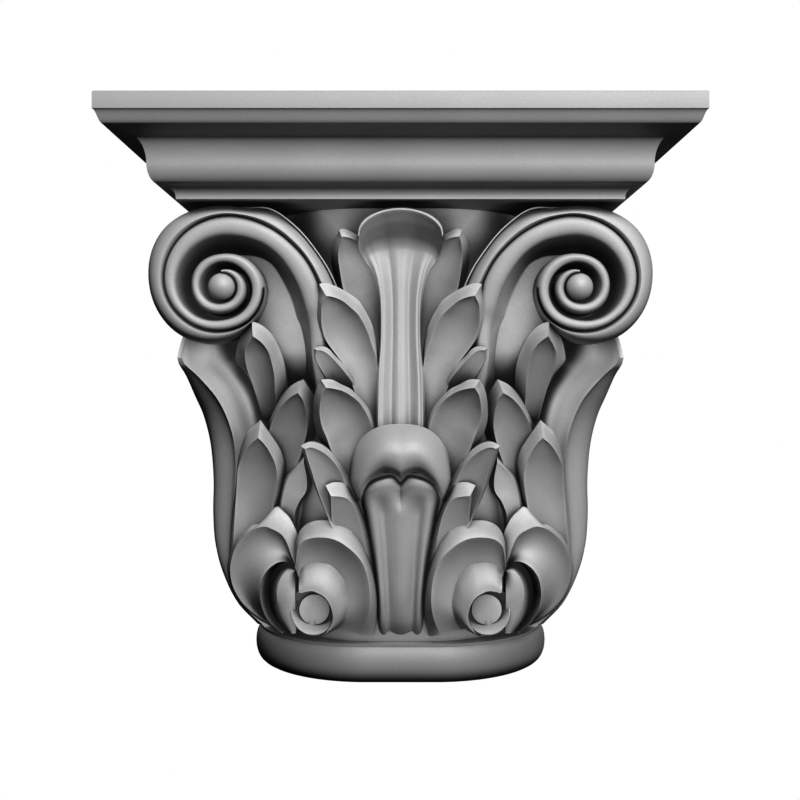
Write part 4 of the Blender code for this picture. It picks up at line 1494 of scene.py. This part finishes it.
@dataclass(frozen=True)
class Abacus:
    """The moulded slab on top, mitred at its corners: insets and heights from the top down."""

    arris: tuple[Flat, ...] = ((0.9, 402.0), (0.3, 401.7), (0.0, 401.0))
    face_foot: float = 390.6
    wave: Flat = (5.5, 9.0)
    wave_bend: float = 0.6
    wave_steps: int = 12
    soffit: Flat = (21.0, 377.2)
    cavetto: tuple[float, float, float, float] = (21.0, 377.0, 9.0, 17.0)
    ovolo: tuple[float, float, float, float] = (30.0, 360.0, 6.5, 13.0)
    lower_cavetto: tuple[float, float, float, float] = (36.5, 347.0, 10.5, 7.5)
    foot: Flat = (47.0, 338.0)
    cavetto_steps: int = 14
    ovolo_steps: int = 12
    lower_steps: int = 8

    def profile(self) -> list[Flat]:
        """Return the mouldings from the top down as (inset, height)."""
        points = [*self.arris, (0.0, self.face_foot)]
        for i in range(1, self.wave_steps + 1):
            share = i / self.wave_steps
            fall = share - math.sin(2 * math.pi * share) / (2 * math.pi) * self.wave_bend
            points.append((self.wave[0] * share, self.face_foot - self.wave[1] * fall))
        points.append(self.soffit)
        points += arc(*self.cavetto, self.cavetto_steps, True)
        points += arc(*self.ovolo, self.ovolo_steps, False)
        points += arc(*self.lower_cavetto, self.lower_steps, True)
        points.append(self.foot)
        return points

    def build(self, stone: bpy.types.Material) -> None:
        """Run the mouldings round the slab.

        Args:
            stone: Its finish.
        """
        outline = self.profile()
        profile = [(inset, 0.0, z) for inset, z in outline]
        profile = [(BLOCK.half_width, 0.0, outline[0][1]), *profile,
                   (BLOCK.half_width, 0.0, outline[-1][1])]
        run_mitred("abacus_run").piece("abacus", profile, stone)


@dataclass(frozen=True)
class Astragal:
    """The round moulding at the foot, on the plan of the shaft."""

    steps: int = 40
    wall: float = 99.9
    nose: float = 6.5
    inner: float = 4.0
    middle: float = 13.6
    turn: float = math.radians(150)
    turn_steps: int = 14
    foot: Flat = (3.5, 0.0)
    fillet: tuple[Flat, ...] = ((7.6, 27.6), (5.2, 29.4), (2.0, 30.6), (0.5, 31.0))

    def profile(self) -> list[Flat]:
        """Return the moulding from the bottom up as (projection, height)."""
        points = [self.foot]
        for i in range(self.turn_steps + 1):
            angle = self.turn * i / self.turn_steps - math.pi / 2
            points.append((self.inner + self.nose * math.cos(angle), self.middle * (1 + math.sin(angle))))
        return [*points, *self.fillet]

    def build(self, stone: bpy.types.Material) -> None:
        """Run the moulding round the shaft.

        Args:
            stone: Its finish.
        """
        outline = self.profile()
        profile = [(BLOCK.shaft_half + out, BLOCK.shaft_front - out, z) for out, z in outline]
        profile = [(0.0, 0.0, outline[0][1]), *profile, (0.0, 0.0, outline[-1][1])]
        run_on_plan("astragal_run", self.steps, self.wall).piece("astragal", profile, stone)


def grain_group() -> bpy.types.NodeTree:
    """Build the shared effect of the stone's grain: its height, and how light each grain is."""
    t = Tree.group("stone_grain", "ShaderNodeTree")
    t.socket("Vector", "NodeSocketVector")
    t.socket("Scale", "NodeSocketFloat", 900.0)
    t.socket("Pits", "NodeSocketFloat", 0.5)
    t.socket("Height", "NodeSocketFloat", out=True)
    t.socket("Shade", "NodeSocketFloat", out=True)
    pit_scale, pit_floor, pit_rim, pit_shade = 0.28, 0.06, 0.2, 0.6
    given = t.node("NodeGroupInput").outputs
    place, scale = given["Vector"], given["Scale"]
    sand = t.node("ShaderNodeTexNoise", {"Vector": place, "Scale": scale, "Detail": 3.0})
    wide = t.math("MULTIPLY", scale, pit_scale)
    cells = t.node("ShaderNodeTexVoronoi", {"Vector": place, "Scale": wide})
    pit = t.ramp(cells.outputs["Distance"], pit_floor, pit_rim, 1.0, 0.0)
    holes = t.math("MULTIPLY", pit, given["Pits"])
    height = t.math("SUBTRACT", sand.outputs["Fac"], holes)
    shade = t.math("SUBTRACT", sand.outputs["Fac"], t.math("MULTIPLY", holes, pit_shade))
    t.node("NodeGroupOutput", {0: height, 1: shade})
    return t.tree


def mottle_group() -> bpy.types.NodeTree:
    """Build the shared effect of the broad, cloudy change of tone in a cast block."""
    t = Tree.group("stone_mottle", "ShaderNodeTree")
    t.socket("Vector", "NodeSocketVector")
    t.socket("Scale", "NodeSocketFloat", 14.0)
    t.socket("Mask", "NodeSocketFloat", out=True)
    low, high = 0.3, 0.7
    given = t.node("NodeGroupInput").outputs
    inputs = {"Vector": given["Vector"], "Scale": given["Scale"], "Detail": 5.0, "Distortion": 0.4}
    cloud = t.node("ShaderNodeTexNoise", inputs)
    t.node("NodeGroupOutput", {0: t.ramp(cloud.outputs["Fac"], low, high)})
    return t.tree


def recess_shade_group() -> bpy.types.NodeTree:
    """Build the shared painted shade of the hollows, dark where ambient occlusion finds them closed in: 1
    in the open, 0 deep inside.
    """
    t = Tree.group("recess_dirt", "ShaderNodeTree")
    t.socket("Reach", "NodeSocketFloat", 0.02)
    t.socket("Clear From", "NodeSocketFloat", 0.6)
    t.socket("Mask", "NodeSocketFloat", out=True)
    darkest = 0.22
    given = t.node("NodeGroupInput").outputs
    # painted shade: ambient occlusion darkens the colour in hollows, creases and gaps
    open_sky = t.node("ShaderNodeAmbientOcclusion", {"Distance": given["Reach"]}, samples=12)
    mask = t.ramp(open_sky.outputs["AO"], darkest, given["Clear From"],
                  interpolation_type="SMOOTHSTEP")
    t.node("NodeGroupOutput", {0: mask})
    return t.tree


def wear_and_highlight_group() -> bpy.types.NodeTree:
    """Build the shared effect of rubbed edges, lightened as wear and as a painted highlight: 1 on a sharp
    edge, 0 on the flat.
    """
    t = Tree.group("rubbed_edges", "ShaderNodeTree")
    t.socket("Vector", "NodeSocketVector")
    t.socket("Sharpness", "NodeSocketFloat", 0.56)
    t.socket("Mask", "NodeSocketFloat", out=True)
    patchiness, fade, patch_scale = 0.06, 0.04, 60.0
    given = t.node("NodeGroupInput").outputs
    # sharp edges are lightened: partly wear, partly a painted highlight along the crests
    bend = t.node("ShaderNodeNewGeometry").outputs["Pointiness"]
    inputs = {"Vector": given["Vector"], "Scale": patch_scale, "Detail": 2.0}
    patch = t.node("ShaderNodeTexNoise", inputs)
    centred = t.math("SUBTRACT", bend, patchiness / 2)
    broken = t.math("MULTIPLY_ADD", patch.outputs["Fac"], patchiness, centred)
    mask = t.ramp(broken, t.math("SUBTRACT", given["Sharpness"], fade), given["Sharpness"])
    t.node("NodeGroupOutput", {0: mask})
    return t.tree


@dataclass(frozen=True)
class StoneEffects:
    """The shared effects, built once."""

    grain: bpy.types.NodeTree
    mottle: bpy.types.NodeTree
    recess_shade: bpy.types.NodeTree
    wear_and_highlight: bpy.types.NodeTree


@dataclass(frozen=True)
class CastStone:
    """The finish: pale grey cast stone, fine grained, a little polished by handling."""

    name: str = "carved_stone"
    base: tuple[float, float, float, float] = (0.34, 0.34, 0.34, 1.0)
    pale: tuple[float, float, float, float] = (0.38, 0.38, 0.38, 1.0)
    # near-black colour of the painted shade in hollows and gaps
    shade_black: tuple[float, float, float, float] = (0.004, 0.004, 0.004, 1.0)
    roughness: float = 0.66
    grain_scale: float = 900.0
    grain_depth: float = 0.12
    pits: float = 0.35
    # reach and onset of the painted shade in hollows
    recess_reach: float = 0.022
    clear_from: float = 0.9
    wear_and_highlight: float = 0.25
    shades: Flat = (0.2, 0.8)
    grit: Flat = (0.93, 1.06)
    sheen: float = 0.05
    grain_size: float = 0.0006
    specular: float = 1.0
    coat: float = 0.8
    coat_ior: float = 1.8

    def material(self, effects: StoneEffects) -> bpy.types.Material:
        """Build the material.

        Args:
            effects: The shared effects.

        Returns:
            The material.
        """
        material = bpy.data.materials.new(self.name)
        material.use_nodes = True
        t = Tree(material.node_tree)
        shader = t.tree.nodes["Principled BSDF"]
        place = t.node("ShaderNodeTexCoord").outputs["Object"]
        grain = t.node("ShaderNodeGroup", node_tree=effects.grain)
        mottle = t.node("ShaderNodeGroup", node_tree=effects.mottle)
        recess_shade = t.node("ShaderNodeGroup", node_tree=effects.recess_shade)
        wear_and_highlight = t.node("ShaderNodeGroup", node_tree=effects.wear_and_highlight)
        for group in (grain, mottle, wear_and_highlight):
            t.tree.links.new(place, group.inputs["Vector"])
        grain.inputs["Scale"].default_value = self.grain_scale
        grain.inputs["Pits"].default_value = self.pits
        recess_shade.inputs["Reach"].default_value = self.recess_reach
        recess_shade.inputs["Clear From"].default_value = self.clear_from
        shade, clear = grain.outputs["Shade"], recess_shade.outputs["Mask"]
        tone = t.blend(mottle.outputs["Mask"], self.base, self.pale)
        tone = t.scaled(tone, t.ramp(shade, *self.shades, *self.grit))
        # lighter on sharp edges: rubbed wear and a painted highlight
        tone = t.scaled(tone, t.math("MULTIPLY_ADD", wear_and_highlight.outputs["Mask"], self.wear_and_highlight, 1.0))
        rough = t.ramp(shade, *self.shades, self.roughness + self.sheen, self.roughness - self.sheen)
        inputs = {"Height": grain.outputs["Height"], "Strength": self.grain_depth,
                  "Distance": self.grain_size}
        looks = {
            # painted shade: the colour goes to near black where the hollows are closed in
            "Base Color": t.blend(clear, self.shade_black, tone),
            "Roughness": rough,
            "Normal": t.node("ShaderNodeBump", inputs).outputs[0],
            # the coat fades out in the same painted shade
            "Coat Weight": t.math("MULTIPLY", clear, self.coat),
        }
        for name, socket in looks.items():
            t.tree.links.new(socket, shader.inputs[name])
        shader.inputs["Specular IOR Level"].default_value = self.specular
        shader.inputs["Coat Roughness"].default_value = self.roughness
        shader.inputs["Coat IOR"].default_value = self.coat_ior
        return material


CARVED_STONE = CastStone()
# a darker copy of the same stone for the abacus and ring mouldings, painting their shade
SHADED_RUN_STONE = CastStone(name="run_stone", grain_scale=750.0, grain_depth=0.09, pits=0.25, clear_from=0.8,
                      base=(0.2, 0.2, 0.2, 1.0), pale=(0.225, 0.225, 0.225, 1.0))


@dataclass(frozen=True)
class Lamp:
    """A round soft light."""

    name: str
    size: float
    power: float
    place: tuple[float, float, float]
    aim: tuple[float, float, float] = (0.0, 0.0, 0.2)
    shadow: bool = True

    def hang(self) -> None:
        """Hang the light, turned to its aim."""
        data = bpy.data.lights.new(self.name, "AREA")
        data.shape = "DISK"
        data.size = self.size
        data.energy = self.power
        data.use_shadow = self.shadow
        obj = bpy.data.objects.new(self.name, data)
        obj.location = self.place
        away = Vector(self.place) - Vector(self.aim)
        obj.rotation_euler = away.to_track_quat("Z", "Y").to_euler()
        bpy.context.scene.collection.objects.link(obj)


@dataclass
class Studio:
    """The camera, a pale floor and soft light."""

    eye_height: float = 0.206
    distance: float = 1.026
    lens: float = 64.35
    key_turn: float = math.radians(16)
    key_rise: float = math.radians(33)
    key_distance: float = 3.0
    key_size: float = 0.9
    key_power: float = 131.0
    back: Lamp = Lamp("back", 1.2, 30.0, (0.0, 2.4, 1.0))
    middle: tuple[float, float, float] = (0.0, 0.0, 0.2)
    sensor: float = 36.0
    shift: Flat = (-0.5 / 800, -7 / 800)
    fill: float = 0.02
    floor_half: float = 6.0
    floor_gap: float = 0.0004
    floor_dark: tuple[float, float, float, float] = (0.02, 0.02, 0.02, 1.0)
    gamma: float = 0.78

    def camera(self) -> None:
        """Stand the camera level in front of the capital."""
        data = bpy.data.cameras.new("camera")
        data.lens = self.lens
        data.sensor_width = self.sensor
        data.shift_x, data.shift_y = self.shift
        obj = bpy.data.objects.new("camera", data)
        obj.location = (0, -self.distance, self.eye_height)
        obj.rotation_euler = (math.pi / 2, 0, 0)
        bpy.context.scene.collection.objects.link(obj)
        bpy.context.scene.camera = obj

    def key(self) -> Lamp:
        """Return the large soft key light, in front, above and to the right."""
        level = self.key_distance * math.cos(self.key_rise)
        height = self.key_distance * math.sin(self.key_rise)
        away = Vector((math.sin(self.key_turn) * level, -math.cos(self.key_turn) * level, height))
        place = tuple(Vector(self.middle) + away)
        return Lamp("key", self.key_size, self.key_power, place, self.middle, shadow=False)

    def surroundings(self) -> None:
        """Make the white surroundings, which light the object only a little."""
        world = bpy.data.worlds.new("studio")
        bpy.context.scene.world = world
        world.use_nodes = True
        t = Tree(world.node_tree)
        t.tree.nodes.clear()
        lit = t.node("ShaderNodeBackground", {"Color": WHITE, "Strength": self.fill})
        seen = t.node("ShaderNodeBackground", {"Color": WHITE})
        t.by_camera(lit, seen, "ShaderNodeOutputWorld")

    def floor(self) -> None:
        """Lay the plain pale floor, which throws no light back up at the object."""
        material = bpy.data.materials.new("floor")
        material.use_nodes = True
        t = Tree(material.node_tree)
        t.tree.nodes.clear()
        dark = t.node("ShaderNodeBsdfDiffuse", {"Color": self.floor_dark})
        pale = t.node("ShaderNodeEmission", {"Color": WHITE, "Strength": 1.0})
        t.by_camera(dark, pale, "ShaderNodeOutputMaterial")
        mesh = bpy.data.meshes.new("floor")
        h, z = self.floor_half, -self.floor_gap
        mesh.from_pydata([(-h, -h, z), (h, -h, z), (h, h, z), (-h, h, z)], [], [(0, 1, 2, 3)])
        mesh.materials.append(material)
        obj = bpy.data.objects.new("floor", mesh)
        bpy.context.scene.collection.objects.link(obj)

    def build(self) -> None:
        """Set the studio up."""
        self.camera()
        self.key().hang()
        self.back.hang()
        self.surroundings()
        self.floor()
        bpy.context.scene.view_settings.view_transform = "Standard"
        bpy.context.scene.view_settings.gamma = self.gamma


def main() -> None:
    """Build the capital and the studio round it."""
    logging.basicConfig(level=logging.INFO, format="%(message)s")
    effects = StoneEffects(grain_group(), mottle_group(), recess_shade_group(), wear_and_highlight_group())
    carved = CARVED_STONE.material(effects)
    # the mouldings get the darker copy of the stone, which paints their shade
    run = SHADED_RUN_STONE.material(effects)
    Studio().build()
    parts = (CornerLeaf(), ScrollField(), Foliage(), FRONT_CURL, CORNER_CURL, Eyelet(), Volute(), Stalk(),
             Boss(), Bell())
    for part in parts:
        part.build(carved)
    for moulding in (Abacus(), Astragal()):
        moulding.build(run)


if __name__ == "__main__":
    main()
